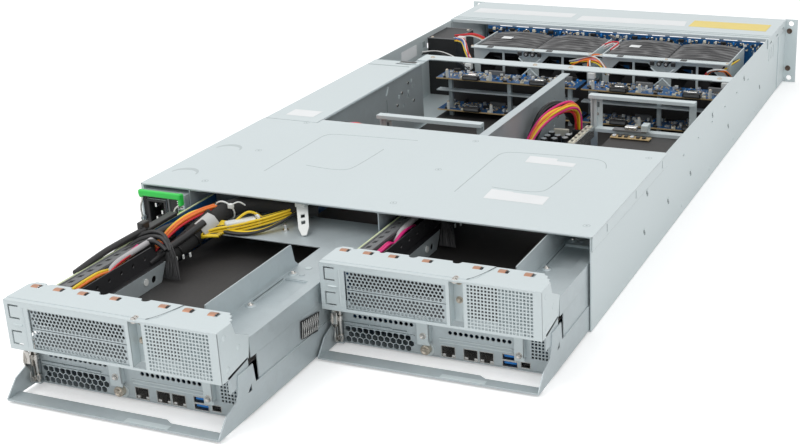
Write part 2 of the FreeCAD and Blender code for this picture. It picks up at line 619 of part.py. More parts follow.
def fan_rotor(index, centre):
    """A hub on the fixed shaft and one pitched blade, repeated round the axis and trimmed."""
    body = doc.addObject("PartDesign::Body", f"rotor_{index}")
    bind(body, "Placement.Base.x", centre)
    bind(body, "Placement.Base.y", fan_rear + d.fan_rotor_inset)
    bind(body, "Placement.Base.z", fan_axis_height)

    hub_sketch = sketch_on(body, "XZ_Plane", f"hub_sketch_{index}", 0)
    circle(hub_sketch, (0, 0), d.fan_hub / 2)
    circle(hub_sketch, (0, 0), d.fan_shaft / 2 + d.fan_shaft_gap)
    hub = body.newObject("PartDesign::Pad", f"hub_{index}")
    hub.Profile = hub_sketch
    hub.Reversed = True
    bind(hub, "Length", d.fan_rotor_depth)

    root = d.fan_hub / 2 - d.fan_blade_root
    tip = d.fan_bore / 2 - d.fan_tip_gap
    sweep = d.fan_blade_sweep / 2
    section = sketch_on(body, "XY_Plane", f"blade_section_{index}", root)
    outline(section, [(-sweep, d.fan_blade_inset), (-sweep + d.fan_blade_sheet, d.fan_blade_inset),
                      (sweep + d.fan_blade_sheet, d.fan_rotor_depth - d.fan_blade_inset),
                      (sweep, d.fan_rotor_depth - d.fan_blade_inset)])
    blade = body.newObject("PartDesign::Pad", f"blade_{index}")
    blade.Profile = section
    bind(blade, "Length", tip - root + d.fan_tip_gap)
    doc.recompute()
    ring = body.newObject("PartDesign::PolarPattern", f"blades_{index}")
    ring.Originals = [blade]
    ring.Axis = (hub_sketch, ["N_Axis"])
    ring.Angle = 360
    ring.Occurrences = SIZES["fan_blade_count"]
    body.Tip = ring
    sleeve = cylinder(f"rotor_sweep_{index}", (centre, fan_rear + d.fan_rotor_inset, fan_axis_height),
                      tip, d.fan_rotor_depth, "y")
    trimmed = doc.addObject("Part::Common", f"rotor_trimmed_{index}")
    trimmed.Base = body
    trimmed.Tool = sleeve
    node(f"fan_rotor_{index}", trimmed)


# ---- power supplies ----------------------------------------------------------------------

def power_box():
    start = rear + d.power_box_start
    node("power_distribution_box", box("power_box",
                                       (inner_left, inner_left + d.power_box_width),
                                       (start, start + d.power_box_depth),
                                       (floor_top, floor_top + d.power_box_height)))


def power_supply(name, low):
    """A slim supply with its inlet turned upright, a bail handle and a thumb latch."""
    case_left = inner_left + d.psu_gap
    case_right = case_left + d.psu_width
    face = rear - d.psu_overhang
    high = low + d.psu_height
    inlet_left = case_left + d.inlet_left
    inlet_low = low + (d.psu_height - d.inlet_height) / 2
    case = box(f"{name}_shell", (case_left, case_right), (face, rear + d.psu_depth), (low, high))
    socket = box(f"{name}_socket", (inlet_left, inlet_left + d.inlet_width),
                 (face - 1, face + d.inlet_depth), (inlet_low, inlet_low + d.inlet_height))
    latch_top = high - d.psu_latch_drop
    slot_left = case_right - d.psu_latch_width - d.psu_latch_stroke - 1
    latch_slot = box(f"{name}_latch_slot", (slot_left, case_right + 1),
                     (face - 1, face + d.psu_latch_seat + d.bail_seat_gap),
                     (latch_top - d.psu_latch_height - 0.5, latch_top + 0.5))
    pivot_height = low + d.bail_pivot_height
    hollowed = cut(f"{name}_cut", case, [socket, latch_slot])

    inlet = box(f"{name}_inlet_block", (inlet_left, inlet_left + d.inlet_width),
                (face - 2, face + d.inlet_depth), (inlet_low, inlet_low + d.inlet_height))
    hollow = box(f"{name}_inlet_hollow",
                 (inlet_left + d.inlet_rim, inlet_left + d.inlet_width - d.inlet_rim),
                 (face - 3, face + d.inlet_depth - 2),
                 (inlet_low + d.inlet_rim, inlet_low + d.inlet_height - d.inlet_rim))
    shell = cut(f"{name}_inlet_shell", inlet, [hollow])
    pins = [box(f"{name}_pin", (inlet_left + across - d.inlet_pin / 2, inlet_left + across + d.inlet_pin / 2),
                (face + d.inlet_depth - d.inlet_pin_length - 2, face + d.inlet_depth - 2),
                (inlet_low + up - 2, inlet_low + up + 2))
            for across, up in ((d.inlet_width * wide, d.inlet_height * tall)
                               for wide, tall in PIN_SHARES)]

    grip_low = high - d.bail_grip
    arm_rear = face - d.bail_reach
    arm_front = face - d.bail_seat_gap
    pivot_y = arm_front - d.bail_arm_width / 2
    arms, hinges, bores = [], [], []
    grip_left = case_left + d.bail_side_gap
    grip_right = slot_left - 1
    lug_gap = d.bail_arm + d.bail_seat_gap
    far_lug = grip_right - lug_gap - d.bail_lug
    for arm_left, lug_left, pin_left in ((grip_left, grip_left + lug_gap, grip_left),
                                         (grip_right - d.bail_arm, far_lug, far_lug)):
        across = (arm_left, arm_left + d.bail_arm)
        arms.append(box(f"{name}_arm", across, (arm_rear, arm_front),
                        (grip_low, grip_low + d.bail_arm_width)))
        arms.append(box(f"{name}_leg", across, (arm_front - d.bail_arm_width, arm_front),
                        (pivot_height, grip_low + d.bail_arm_width)))
        arms.append(cylinder(f"{name}_knuckle", (arm_left, pivot_y, pivot_height),
                             d.bail_arm_width / 2, d.bail_arm, "x"))
        bores.append(cylinder(f"{name}_bore", (arm_left - 1, pivot_y, pivot_height),
                              d.bail_pin / 2 + d.pin_gap, d.bail_arm + 2, "x"))
        hinges.append(box(f"{name}_lug", (lug_left, lug_left + d.bail_lug),
                          (pivot_y - d.bail_lug_width / 2, face),
                          (pivot_height - d.bail_lug_width / 2, pivot_height + d.bail_lug_width / 2)))
        hinges.append(cylinder(f"{name}_hinge_pin", (pin_left, pivot_y, pivot_height),
                               d.bail_pin / 2, lug_gap + d.bail_lug, "x"))
    node(f"{name}_case", fuse(f"{name}_body", [hollowed, shell] + pins + hinges))

    grip = box(f"{name}_grip", (grip_left, grip_right), (arm_rear, arm_rear + d.bail_grip_depth),
               (grip_low, high))
    node(f"{name}_handle", cut(f"{name}_bail", fuse(f"{name}_bail_body", arms + [grip]), bores))

    tab = box(f"{name}_tab",
              (case_right - d.psu_latch_width - d.bail_side_gap, case_right - d.bail_side_gap),
              (face - d.psu_latch_reach, face + d.psu_latch_seat),
              (latch_top - d.psu_latch_height, latch_top))
    node(f"{name}_latch", tab)


# ---- front drives and ears ---------------------------------------------------------------

def carrier_lefts():
    for index in range(4):
        yield size(-1.5 + index) * d.carrier_pitch - d.carrier_width / 2


carrier_low = floor_top + d.cage_sheet + d.carrier_gap


def drive_cage():
    """Floor, lid, two sides and a pierced front sheet, riveted face to face."""
    start = rear + d.cage_start
    stop = front - d.bezel_depth
    along = (start, stop - d.grille_sheet)
    between = (inner_left + d.cage_sheet, inner_right - d.cage_sheet)
    lid_low = carrier_low + d.carrier_height + d.carrier_gap
    floor = box("cage_floor", between, along, (floor_top, floor_top + d.cage_sheet))
    lid = box("cage_lid", between, along, (lid_low, lid_low + d.cage_sheet))
    sides = [box("cage_side", across, along, (floor_top, d.cage_height))
             for across in ((inner_left, between[0]), (between[1], inner_right))]
    windows = [rectangle((edge - d.carrier_gap, edge + d.carrier_width + d.carrier_gap),
                         (floor_top + d.cage_sheet, lid_low))
               for edge in carrier_lefts()]
    grille = prism("grille", "XZ_Plane", (stop - d.grille_sheet, stop),
                   rectangle((inner_left, inner_right), (floor_top, d.cage_height)), windows)
    first = -d.grille_pitch * (SIZES["grille_columns"] - 0.5) / 2
    base = lid_low + d.cage_sheet + d.grille_hex / 2 + d.grille_edge
    cell = [hexagon(first, base, d.grille_hex),
            hexagon(first + d.grille_pitch / 2, base + d.grille_pitch * HEX_RISE, d.grille_hex)]
    hole_rows(grille, "XZ_Plane", stop - d.grille_sheet / 2, cell, SIZES["grille_columns"],
              d.grille_pitch)
    node("drive_cage", group("cage", [floor, lid, grille] + sides))


def drive_carrier(index, edge):
    stop = front - d.bezel_depth
    low = carrier_low
    high = low + d.carrier_height
    sled = box(f"sled_{index}", (edge + 1, edge + d.carrier_width - 1),
               (stop - d.carrier_depth, stop), (low, high - d.carrier_lid_gap))
    bezel = box(f"bezel_{index}", (edge, edge + d.carrier_width), (stop, front), (low, high))
    recess_low = low + (d.carrier_height - d.lever_height) / 2
    lever_left = edge + d.lever_inset
    recess = box(f"lever_recess_{index}",
                 (lever_left - d.lever_swing_gap, lever_left + d.lever_length + d.lever_gap),
                 (front - d.lever_depth - d.lever_back_gap, front + 1),
                 (recess_low - d.lever_gap, recess_low + d.lever_height + d.lever_gap))
    pin_x = lever_left + d.lever_pin_inset
    pin_y = front - d.lever_depth / 2
    pin = cylinder(f"lever_pin_{index}", (pin_x, pin_y, recess_low - d.lever_gap), d.lever_pin / 2,
                   d.lever_height + 2 * d.lever_gap, "z")
    hollowed = cut(f"bezel_cut_{index}", fuse(f"carrier_{index}", [sled, bezel]), [recess])
    node(f"drive_carrier_{index}", fuse(f"carrier_{index}_body", [hollowed, pin]))

    lever = box(f"lever_{index}_plate", (lever_left, lever_left + d.lever_length),
                (front - d.lever_depth, front), (recess_low, recess_low + d.lever_height))
    bore = cylinder(f"lever_bore_{index}", (pin_x, pin_y, recess_low - 1),
                    d.lever_pin / 2 + d.pin_gap, d.lever_height + 2, "z")
    node(f"drive_lever_{index}", cut(f"lever_{index}", lever, [bore]))


def ears():
    for name, inner, side in (("left", left, -1), ("right", right, 1)):
        outer = inner + d.ear_reach * side
        across = (outer, inner) if side < 0 else (inner, outer)
        wing = (inner - d.ear_wing_sheet, inner) if side < 0 else (inner, inner + d.ear_wing_sheet)
        middle = d.chassis_height / 2
        rounds = [((d.rack_hole_span / 2 * side, middle + d.rack_hole_rise / 2 * step),
                   d.rack_hole / 2) for step in (-1, 1)]
        plate = prism(f"{name}_ear_plate", "XZ_Plane", (front - d.ear_sheet, front),
                      rectangle(across, (0, d.chassis_height)), rounds=rounds)
        flap = box(f"{name}_ear_wing", wing, (front - d.ear_wing, front - d.ear_sheet),
                   (d.ear_wing_low, d.chassis_height - d.flange_drop - d.seam_gap))
        node(f"{name}_ear", fuse(f"{name}_ear_body", [plate, flap]))


# ---- tray nodes --------------------------------------------------------------------------

def tray(side, edge, panel):
    """One compute tray: edge is its left side, panel the plane of its I/O panel."""
    far = edge + d.tray_width
    stop = panel + d.tray_length
    low = tray_floor
    sheet = d.tray_sheet

    def across(value):
        return edge + value

    def along(value):
        return panel + value

    # pan with the fixed handle folded from its side walls
    floor = box(f"{side}_floor", (edge, far), (panel, stop), (low, low + sheet))
    arm = [(along(-d.arm_top_rear), d.arm_top), (along(d.arm_top_front), d.arm_top),
           (along(d.arm_top_front + d.arm_step), d.side_band), (stop, d.side_band), (stop, low),
           (along(-d.handle_reach), low), (along(-d.handle_reach), low + d.arm_step)]
    arm += [(along(back), up) for back, up in HANDLE_CURVE]
    window_stop = d.arm_window_start + d.arm_window
    window = [(along(d.arm_window_start), d.arm_window_low),
              (along(window_stop), d.arm_window_low + d.arm_window),
              (along(window_stop), d.arm_window_low)]
    walls = [prism(f"{side}_outer_wall", "YZ_Plane", (far - sheet, far), arm, [window]),
             prism(f"{side}_inner_arm", "YZ_Plane", (edge, edge + sheet), arm)]
    walls += [box(f"{side}_upper_wall", reach, (along(d.side_start), stop),
                  (d.side_band - sheet, d.side_height))
              for reach in ((far - 2 * sheet, far - sheet), (edge + sheet, edge + 2 * sheet))]
    bar_rear = along(-d.handle_reach)
    bar = [(edge, bar_rear), (far, bar_rear), (far, bar_rear + d.handle_narrow),
           (across(d.handle_narrow_start + d.handle_bevel), bar_rear + d.handle_narrow),
           (across(d.handle_narrow_start), bar_rear + d.handle_width),
           (edge, bar_rear + d.handle_width)]
    handle = prism(f"{side}_handle", "XY_Plane", (low, low + d.handle_sheet), bar)
    node(f"{side}_tray_pan", fuse(f"{side}_pan", [floor, handle] + walls))

    # bracket for the graphics cards: face, top return and both sides
    face = along(-d.bracket_reach)
    vent_left = d.channel_right + 3
    windows = [rectangle((across(d.slot_left), across(d.slot_right)), (d.slot_low, d.slot_high)),
               rectangle((across(d.channel_left), across(d.channel_right)),
                         (d.slot_low, d.bracket_high - sheet - 1))]
    for slit_low in (d.slot_low + d.slit_rise, d.slot_high - d.slit_height):
        windows.append(c_slit(across(d.slit_left), slit_low))
    plate = prism(f"{side}_bracket_face", "XZ_Plane", (face, face + d.bracket_sheet),
                  rectangle((edge + 1, far - 1), (d.bracket_low, d.bracket_high)), windows)
    hole = d.vent_hole / 2
    first = across(vent_left) + d.vent_pitch / 2 + hole
    base = d.slot_low + d.vent_pitch / 2 + hole
    hole_rows(plate, "XZ_Plane", face + d.bracket_sheet / 2,
              [rectangle((first - hole, first + hole), (base - hole, base + hole))],
              SIZES["vent_columns"], d.vent_pitch, SIZES["vent_rows"], d.vent_pitch)
    inner = along(d.bracket_roof)
    spring_slots = [rectangle((across(middle - d.spring_width / 2), across(middle + d.spring_width / 2)),
                              (along(d.spring_start), along(d.spring_start + d.spring_length)))
                    for middle in SPRING_MIDDLES]
    blank = prism(f"{side}_bracket_blank", "XY_Plane",
                  (d.bracket_high - d.bracket_sheet, d.bracket_high),
                  rectangle((edge + 1, far - 1), (face, inner)), spring_slots)
    scallops = [cylinder(f"{side}_roof_scallop", (across(middle), inner, d.bracket_high - 2 * sheet),
                         d.scallop_radius, 3 * sheet, "z") for middle in SCALLOP_MIDDLES]
    roof = cut(f"{side}_bracket_roof", blank, scallops)
    cheek_high = d.duct_height + d.screw_seat
    cheek = [(face, d.bracket_low), (along(-d.cheek_rear), d.bracket_low),
             (along(d.cheek_front), cheek_high), (along(d.cheek_front - d.cheek_step), cheek_high),
             (along(d.cheek_top), d.bracket_high), (face, d.bracket_high)]
    cheeks = [prism(f"{side}_bracket_side", "YZ_Plane", reach, cheek)
              for reach in ((edge + 1, edge + 2), (far - 2, far - 1))]
    trough = [box(f"{side}_channel", (across(d.channel_left - 1), across(d.channel_left)),
                  (face, face + d.channel_depth), (d.slot_low, d.bracket_high - sheet)),
              box(f"{side}_channel_back", (across(d.channel_left - 1), across(d.channel_right + 1)),
                  (face + d.channel_depth, face + d.channel_depth + sheet),
                  (d.slot_low, d.bracket_high - sheet)),
              box(f"{side}_channel_side", (across(d.channel_right), across(d.channel_right + 1)),
                  (face, face + d.channel_depth), (d.slot_low, d.bracket_high - sheet))]
    node(f"{side}_gpu_bracket", fuse(f"{side}_bracket", [plate, roof] + cheeks + trough))

    # two perforated slot covers, set back in the bracket's window
    covers_made = []
    middle = (d.slot_low + d.slot_high) / 2
    for level, (cover_low, cover_high) in enumerate(((d.slot_low - 1, middle - 0.3),
                                                     (middle + 0.3, d.slot_high + 1))):
        cover_rear = face + d.bracket_sheet + 0.3
        blank = prism(f"{side}_slot_cover_{level}", "XZ_Plane",
                      (cover_rear, cover_rear + sheet),
                      rectangle((across(d.slot_left - 2), across(d.slot_right + 1)),
                                (cover_low, cover_high)))
        start_x = across(d.slot_left + d.cover_edge)
        start_z = cover_low + d.cover_edge
        cell = [hexagon(start_x, start_z, d.cover_hex),
                hexagon(start_x + d.cover_pitch / 2, start_z + d.cover_pitch * HEX_RISE, d.cover_hex)]
        hole_rows(blank, "XZ_Plane", cover_rear + sheet / 2, cell, SIZES["cover_columns"],
                  d.cover_pitch)
        covers_made.append(blank)
    node(f"{side}_slot_covers", group(f"{side}_covers", covers_made))

    # I/O panel with windows for the sockets
    ports = port_windows(across)
    panel_windows = [rectangle(*window) for window in ports]
    panel_windows.append(rectangle((across(d.latch_slot), across(d.latch_slot) + 1),
                                   (d.latch_low + d.slit_rise, d.latch_high / 2)))
    panel_sheet = prism(f"{side}_panel", "XZ_Plane", (panel, panel + sheet),
                        rectangle((edge + 1, far - 1), (low + sheet, d.bracket_low - d.panel_drop)),
                        panel_windows, [((across(d.screw_left), d.screw_height + low),
                                         d.screw_shank / 2 + d.pin_gap)])
    hex_left = across(d.panel_hex_left)
    hex_low = low + d.panel_hex_low
    hole_rows(panel_sheet, "XZ_Plane", panel + sheet / 2,
              [hexagon(hex_left, hex_low, d.cover_hex),
               hexagon(hex_left + d.cover_pitch / 2, hex_low + d.cover_pitch * HEX_RISE, d.cover_hex)],
              SIZES["panel_columns"], d.cover_pitch)
    pin_x = across(d.latch_left + d.latch_pin_inset)
    pin_y = panel - d.latch_pin_reach
    pin = cylinder(f"{side}_latch_post", (pin_x, pin_y, d.latch_low - 2), d.latch_pin / 2,
                   d.latch_high - d.latch_low + 3, "z")
    lugs = [box(f"{side}_latch_lug", (pin_x - d.latch_pin, pin_x + d.latch_pin),
                (pin_y - d.latch_pin / 2 - sheet / 2, panel), (lug_low, lug_low + d.lug_sheet))
            for lug_low in (d.latch_low - 2, d.latch_high + 0.3)]
    tabs = []
    for tab_left, width in ((d.left_tab, d.left_tab_width), (d.right_tab, d.right_tab_width)):
        tab_right = across(tab_left) + width
        tabs.append(box(f"{side}_screw_tab", (across(tab_left), tab_right),
                        (panel - d.tab_reach, panel - d.tab_reach + sheet), (d.tab_low, d.tab_high)))
        tabs.append(box(f"{side}_tab_web", (tab_right - sheet, tab_right),
                        (panel - d.tab_reach, panel), (d.tab_low, d.tab_high)))
    ribs = [box(f"{side}_panel_rib", (across(d.port_left), across(d.right_tab) - sheet),
                (panel - d.rib_reach, panel), (rib_low, rib_low + sheet))
            for rib_low in (d.rib_low, d.rib_low + d.rib_step)]
    node(f"{side}_io_panel", fuse(f"{side}_panel_body", [panel_sheet, pin] + lugs + tabs + ribs))

    # socket block behind the panel
    block = box(f"{side}_port_block", (across(d.port_left), across(d.port_right)),
                (panel + sheet, panel + sheet + d.port_depth), (low + sheet, d.port_high))
    hollows = [box(f"{side}_port_hollow", reach, (panel, panel + d.port_depth - 1), rise)
               for reach, rise in ports]
    node(f"{side}_io_ports", cut(f"{side}_ports", block, hollows))

    # captive thumb screw
    screw_x, screw_z = across(d.screw_left), low + d.screw_height
    head = cylinder(f"{side}_screw_head",
                    (screw_x, panel - d.screw_seat - d.screw_head_depth, screw_z),
                    d.screw_head / 2, d.screw_head_depth, "y")
    shank = cylinder(f"{side}_screw_shank", (screw_x, panel - 2 * d.screw_seat, screw_z),
                     d.screw_shank / 2, d.screw_length, "y")
    node(f"{side}_thumb_screw", fuse(f"{side}_screw", [head, shank]))

    # release latch on the left side of the panel
    paddle = [(across(d.latch_left), panel - d.latch_reach),
              (across(d.latch_left + d.latch_sheet), panel - d.latch_reach),
              (across(d.latch_left + d.latch_sheet), panel - d.latch_step - 1),
              (across(d.latch_left + d.latch_lip), panel - d.latch_step),
              (across(d.latch_left + d.latch_lip), panel - 1), (across(d.latch_left), panel - 1)]
    lever = prism(f"{side}_latch_plate", "XY_Plane", (d.latch_low, d.latch_high), paddle,
                  rounds=[((pin_x, pin_y), d.latch_pin / 2 + d.pin_gap)])
    node(f"{side}_release_latch", lever)

    # deck that carries the cards, stepped clear of the front of the motherboard
    shape = [(across(d.deck_left), along(d.deck_rear)), (far - 3, along(d.deck_rear)),
             (far - 3, stop), (across(d.deck_front_left), stop),
             (across(d.deck_front_left), along(d.deck_step)),
             (across(d.deck_left), along(d.deck_step))]
    deck = prism(f"{side}_deck_sheet", "XY_Plane", (d.deck_height - d.deck_sheet, d.deck_height), shape)
    board_top = low + d.motherboard_height + d.board_sheet
    legs = [box(f"{side}_deck_leg", (leg_left, leg_left + sheet),
                (along(start), along(start + d.deck_leg_width)),
                (foot, d.deck_height - d.deck_sheet))
            for leg_left, start, foot in ((far - d.deck_leg_inset, d.deck_leg_rear, low + sheet),
                                          (far - d.deck_leg_inset, d.deck_leg_front, low + sheet),
                                          (across(d.deck_front_left), d.deck_leg_front, board_top),
                                          (across(d.deck_left), d.deck_leg_middle, board_top))]
    node(f"{side}_gpu_deck", group(f"{side}_deck", [deck] + legs))

    # air duct shelf beside the cards
    duct_low = d.duct_height - sheet
    shelf = [(across(d.duct_left), along(d.duct_rear)), (far - 1, along(d.duct_rear)),
             (far - 1, along(d.duct_length)), (across(d.deck_left), along(d.duct_length)),
             (across(d.deck_left), along(d.duct_window)), (across(d.duct_left), along(d.duct_window))]
    pocket = rectangle((across(d.pocket_left), across(d.pocket_right)),
                       (along(d.pocket_start), along(d.pocket_start + d.pocket_length)))
    plate = prism(f"{side}_duct_plate", "XY_Plane", (duct_low, d.duct_height), shelf, [pocket])
    side_wall = box(f"{side}_duct_side", (far - 2, far - 1), (along(d.duct_rear), along(d.duct_length)),
                    (d.side_height, duct_low))
    inner_wall = box(f"{side}_duct_wall", (across(d.duct_left), across(d.duct_left + 1)),
                     (along(d.duct_rear), along(d.duct_rear + d.duct_wall_length)),
                     (d.duct_height, d.duct_wall_top))
    cup = box(f"{side}_duct_cup", (across(d.pocket_left - 1), across(d.pocket_right + 1)),
              (along(d.pocket_start - 1), along(d.pocket_start + d.pocket_length + 1)),
              (d.deck_height + d.cup_rise, d.deck_height + d.cup_rise + 1))
    cup_sides = [box(f"{side}_cup_side", reach,
                     (along(d.pocket_start - 1), along(d.pocket_start + d.pocket_length + 1)),
                     (d.deck_height + d.cup_rise + 1, duct_low))
                 for reach in ((across(d.pocket_left - 1), across(d.pocket_left)),
                               (across(d.pocket_right), across(d.pocket_right + 1)))]
    duct = fuse(f"{side}_duct", [plate, side_wall, inner_wall, cup] + cup_sides)

    # riser board with its card slot, and the dark support rail beside it
    riser_left = across(d.riser_left)
    board = box(f"{side}_riser_board", (riser_left, riser_left + d.board_sheet),
                (along(d.riser_start), along(d.riser_start + d.riser_length)),
                (low + d.motherboard_height + d.board_sheet, d.riser_height))
    slot_low = d.riser_height - 3 * d.riser_slot_height
    card_slot = box(f"{side}_card_slot",
                    (riser_left + d.board_sheet, riser_left + d.board_sheet + d.riser_slot_depth),
                    (along(d.riser_slot_start), along(d.riser_slot_start + d.riser_slot_length)),
                    (slot_low, slot_low + d.riser_slot_height))
    node(f"{side}_riser_card", fuse(f"{side}_riser", [board, card_slot]))

    rail_left = across(d.rail_left)
    rail_reach = (along(d.riser_start), along(d.riser_start + d.riser_length))
    rail_top = box(f"{side}_rail_top", (rail_left, rail_left + d.rail_width), rail_reach,
                   (d.rail_height - 1, d.rail_height))
    rail_wall = box(f"{side}_rail_wall", (rail_left + d.rail_width - 1, rail_left + d.rail_width),
                    rail_reach, (d.deck_height, d.rail_height - 1))
    rail = fuse(f"{side}_rail", [rail_top, rail_wall])
    node(f"{side}_card_supports", group(f"{side}_supports", [duct, rail]))

    # motherboard on standoffs
    inset = d.motherboard_inset
    board_low = low + d.motherboard_height
    board = box(f"{side}_board", (across(inset), far - inset),
                (along(d.port_depth + d.board_rear_gap), stop - inset),
                (board_low, board_low + d.board_sheet))
    standoffs = [prism(f"{side}_standoff", "XY_Plane", (low + sheet, board_low),
                       hexagon(post_x, post_y, d.standoff_width))
                 for post_x in (across(inset + d.standoff_inset), far - inset - d.standoff_inset)
                 for post_y in (along(d.deck_leg_rear), along(d.tray_length / 2),
                                stop - inset - 2 * d.standoff_inset)]
    node(f"{side}_motherboard", group(f"{side}_mainboard", [board] + standoffs))

    # frame across the front end of the tray
    top = d.bracket_high
    bar_top = box(f"{side}_frame_bar", (across(d.frame_left), across(d.frame_right)),
                  (stop - d.frame_bar, stop), (top - d.frame_bar_height, top))
    foot = box(f"{side}_frame_leg", (across(d.frame_left), across(d.frame_left + d.frame_foot)),
               (stop - d.frame_leg, stop), (board_low + d.board_sheet, top - d.frame_bar_height))
    end_left = across(d.frame_right - d.frame_foot)
    end = box(f"{side}_frame_end", (end_left, across(d.frame_right)),
              (stop - d.frame_leg, stop), (d.deck_height, top - d.frame_bar_height))
    low_bar = box(f"{side}_frame_low", (across(d.frame_left + d.frame_foot), end_left),
                  (stop - d.frame_bar, stop), (d.deck_height, d.deck_height + d.frame_low_height))
    node(f"{side}_front_frame", fuse(f"{side}_frame", [bar_top, foot, end, low_bar]))

    # cable trunk strapped along the riser
    trunk_y = along(d.trunk_start)
    node(f"{side}_cable_trunk",
         cylinder(f"{side}_trunk", (across(d.trunk_left + d.trunk_width / 2), trunk_y,
                                    d.deck_height + d.trunk_width / 2 + 2),
                  d.trunk_width / 2, d.trunk_length, "y"))


def c_slit(left_edge, low):
    """A C-shaped slit, open towards the cards, that frees a pressing tab."""
    far, high, width = left_edge + d.slit_width, low + d.slit_height, d.slit_cut
    return [(left_edge, low), (far, low), (far, low + width), (left_edge + width, low + width),
            (left_edge + width, high - width), (far, high - width), (far, high), (left_edge, high)]


def port_windows(across):
    """Socket openings on the I/O panel: three network jacks, two flat ports and a video port."""
    network = [((across(start), across(start + d.jack_width)), (d.jack_low, d.jack_high))
               for start in JACK_LEFTS]
    flat = [((across(d.flat_left), across(d.flat_left + d.flat_width)),
             (low_edge, low_edge + d.flat_height))
            for low_edge in (d.jack_low, d.jack_low + d.flat_rise)]
    video = [((across(d.video_left), across(d.video_left + d.video_width)),
              (d.video_low, d.video_low + d.flat_height))]
    return network + flat + video


# ---- the whole server --------------------------------------------------------------------

def build():
    chassis_base()
    covers()
    dividers()
    crossbar()
    bridge_boards()
    backplane()
    fan_frame()
    fan_housings()
    for index, centre in enumerate(fan_centres(), start=1):
        fan_rotor(index, centre)
    power_box()
    power_supply("lower_psu", floor_top + d.psu_gap)
    power_supply("upper_psu", floor_top + 2 * d.psu_gap + d.psu_height)
    drive_cage()
    for index, edge in enumerate(carrier_lefts(), start=1):
        drive_carrier(index, edge)
    ears()
    closed = rear + d.bracket_reach
    tray("left", left_tray, closed - d.tray_travel_left)
    tray("right", right_tray, closed - d.tray_travel_right)
    doc.recompute()


def check_and_export():
    for item in doc.Objects:
        if {"Invalid", "Error"} & set(item.State):
            raise ValueError(f"{item.Name} failed: {item.State}")
    os.makedirs("parts", exist_ok=True)
    for piece in nodes:
        shape = piece.Shape
        if shape.isNull() or not shape.isValid():
            raise ValueError(f"{piece.Label} has no valid shape")
        shape.exportStep(f"parts/{piece.Label}.step")
        print(piece.Label, round(shape.Volume), len(shape.Solids), len(shape.Faces))
    print(len(nodes), "sub-parts")


build()
check_and_export()
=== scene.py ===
import json
import math
import random

import bmesh
import bpy
from mathutils import Matrix, Vector


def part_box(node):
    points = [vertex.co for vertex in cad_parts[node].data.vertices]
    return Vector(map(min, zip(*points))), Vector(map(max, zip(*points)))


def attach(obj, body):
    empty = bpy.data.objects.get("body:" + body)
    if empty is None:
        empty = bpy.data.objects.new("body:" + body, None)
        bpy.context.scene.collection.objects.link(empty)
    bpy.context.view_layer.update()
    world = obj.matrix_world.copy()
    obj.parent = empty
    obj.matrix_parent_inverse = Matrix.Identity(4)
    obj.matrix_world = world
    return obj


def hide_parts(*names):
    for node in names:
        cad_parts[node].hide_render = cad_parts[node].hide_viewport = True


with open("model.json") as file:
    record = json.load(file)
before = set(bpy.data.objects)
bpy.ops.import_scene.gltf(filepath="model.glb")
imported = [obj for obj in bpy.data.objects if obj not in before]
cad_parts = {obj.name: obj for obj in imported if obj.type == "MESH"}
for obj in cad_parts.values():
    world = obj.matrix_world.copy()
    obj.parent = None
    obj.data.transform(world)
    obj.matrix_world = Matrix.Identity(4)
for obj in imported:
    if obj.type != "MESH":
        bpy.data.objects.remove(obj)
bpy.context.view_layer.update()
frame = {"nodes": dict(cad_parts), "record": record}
chance = random.Random(7)
print("frame loaded")


# node trees written as expressions

class Signal:
    def __init__(self, tree, socket):
        self.tree, self.socket = tree, socket

    def join(self, operation, other, flipped=False):
        pair = (other, self) if flipped else (self, other)
        return self.tree.add("ShaderNodeMath", {"operation": operation}, pair)

    def floor(self):
        return self.tree.add("ShaderNodeMath", {"operation": "FLOOR"}, (self,))

    def __add__(self, other):
        return self.join("ADD", other)

    def __radd__(self, other):
        return self.join("ADD", other, True)

    def __sub__(self, other):
        return self.join("SUBTRACT", other)

    def __rsub__(self, other):
        return self.join("SUBTRACT", other, True)

    def __mul__(self, other):
        return self.join("MULTIPLY", other)

    def __rmul__(self, other):
        return self.join("MULTIPLY", other, True)

    def __truediv__(self, other):
        return self.join("DIVIDE", other)

    def __mod__(self, other):
        return self.join("MODULO", other)

    def __gt__(self, other):
        return self.join("GREATER_THAN", other)

    def __lt__(self, other):
        return self.join("LESS_THAN", other)


class Tree:
    def add(self, kind, settings=None, values=(), output=0):
        node = self.nodes.new(kind)
        for key, value in (settings or {}).items():
            setattr(node, key, value)
        pairs = values.items() if isinstance(values, dict) else enumerate(values)
        for key, value in pairs:
            self.feed(node.inputs[key], value)
        return Signal(self, node.outputs[output])

    def feed(self, socket, value):
        if isinstance(value, list):
            for each in value:
                self.links.new(each.socket, socket)
        elif isinstance(value, Signal):
            self.links.new(value.socket, socket)
        elif isinstance(value, tuple) and len(value) == 3 and socket.type == "RGBA":
            socket.default_value = (*value, 1)
        else:
            socket.default_value = value


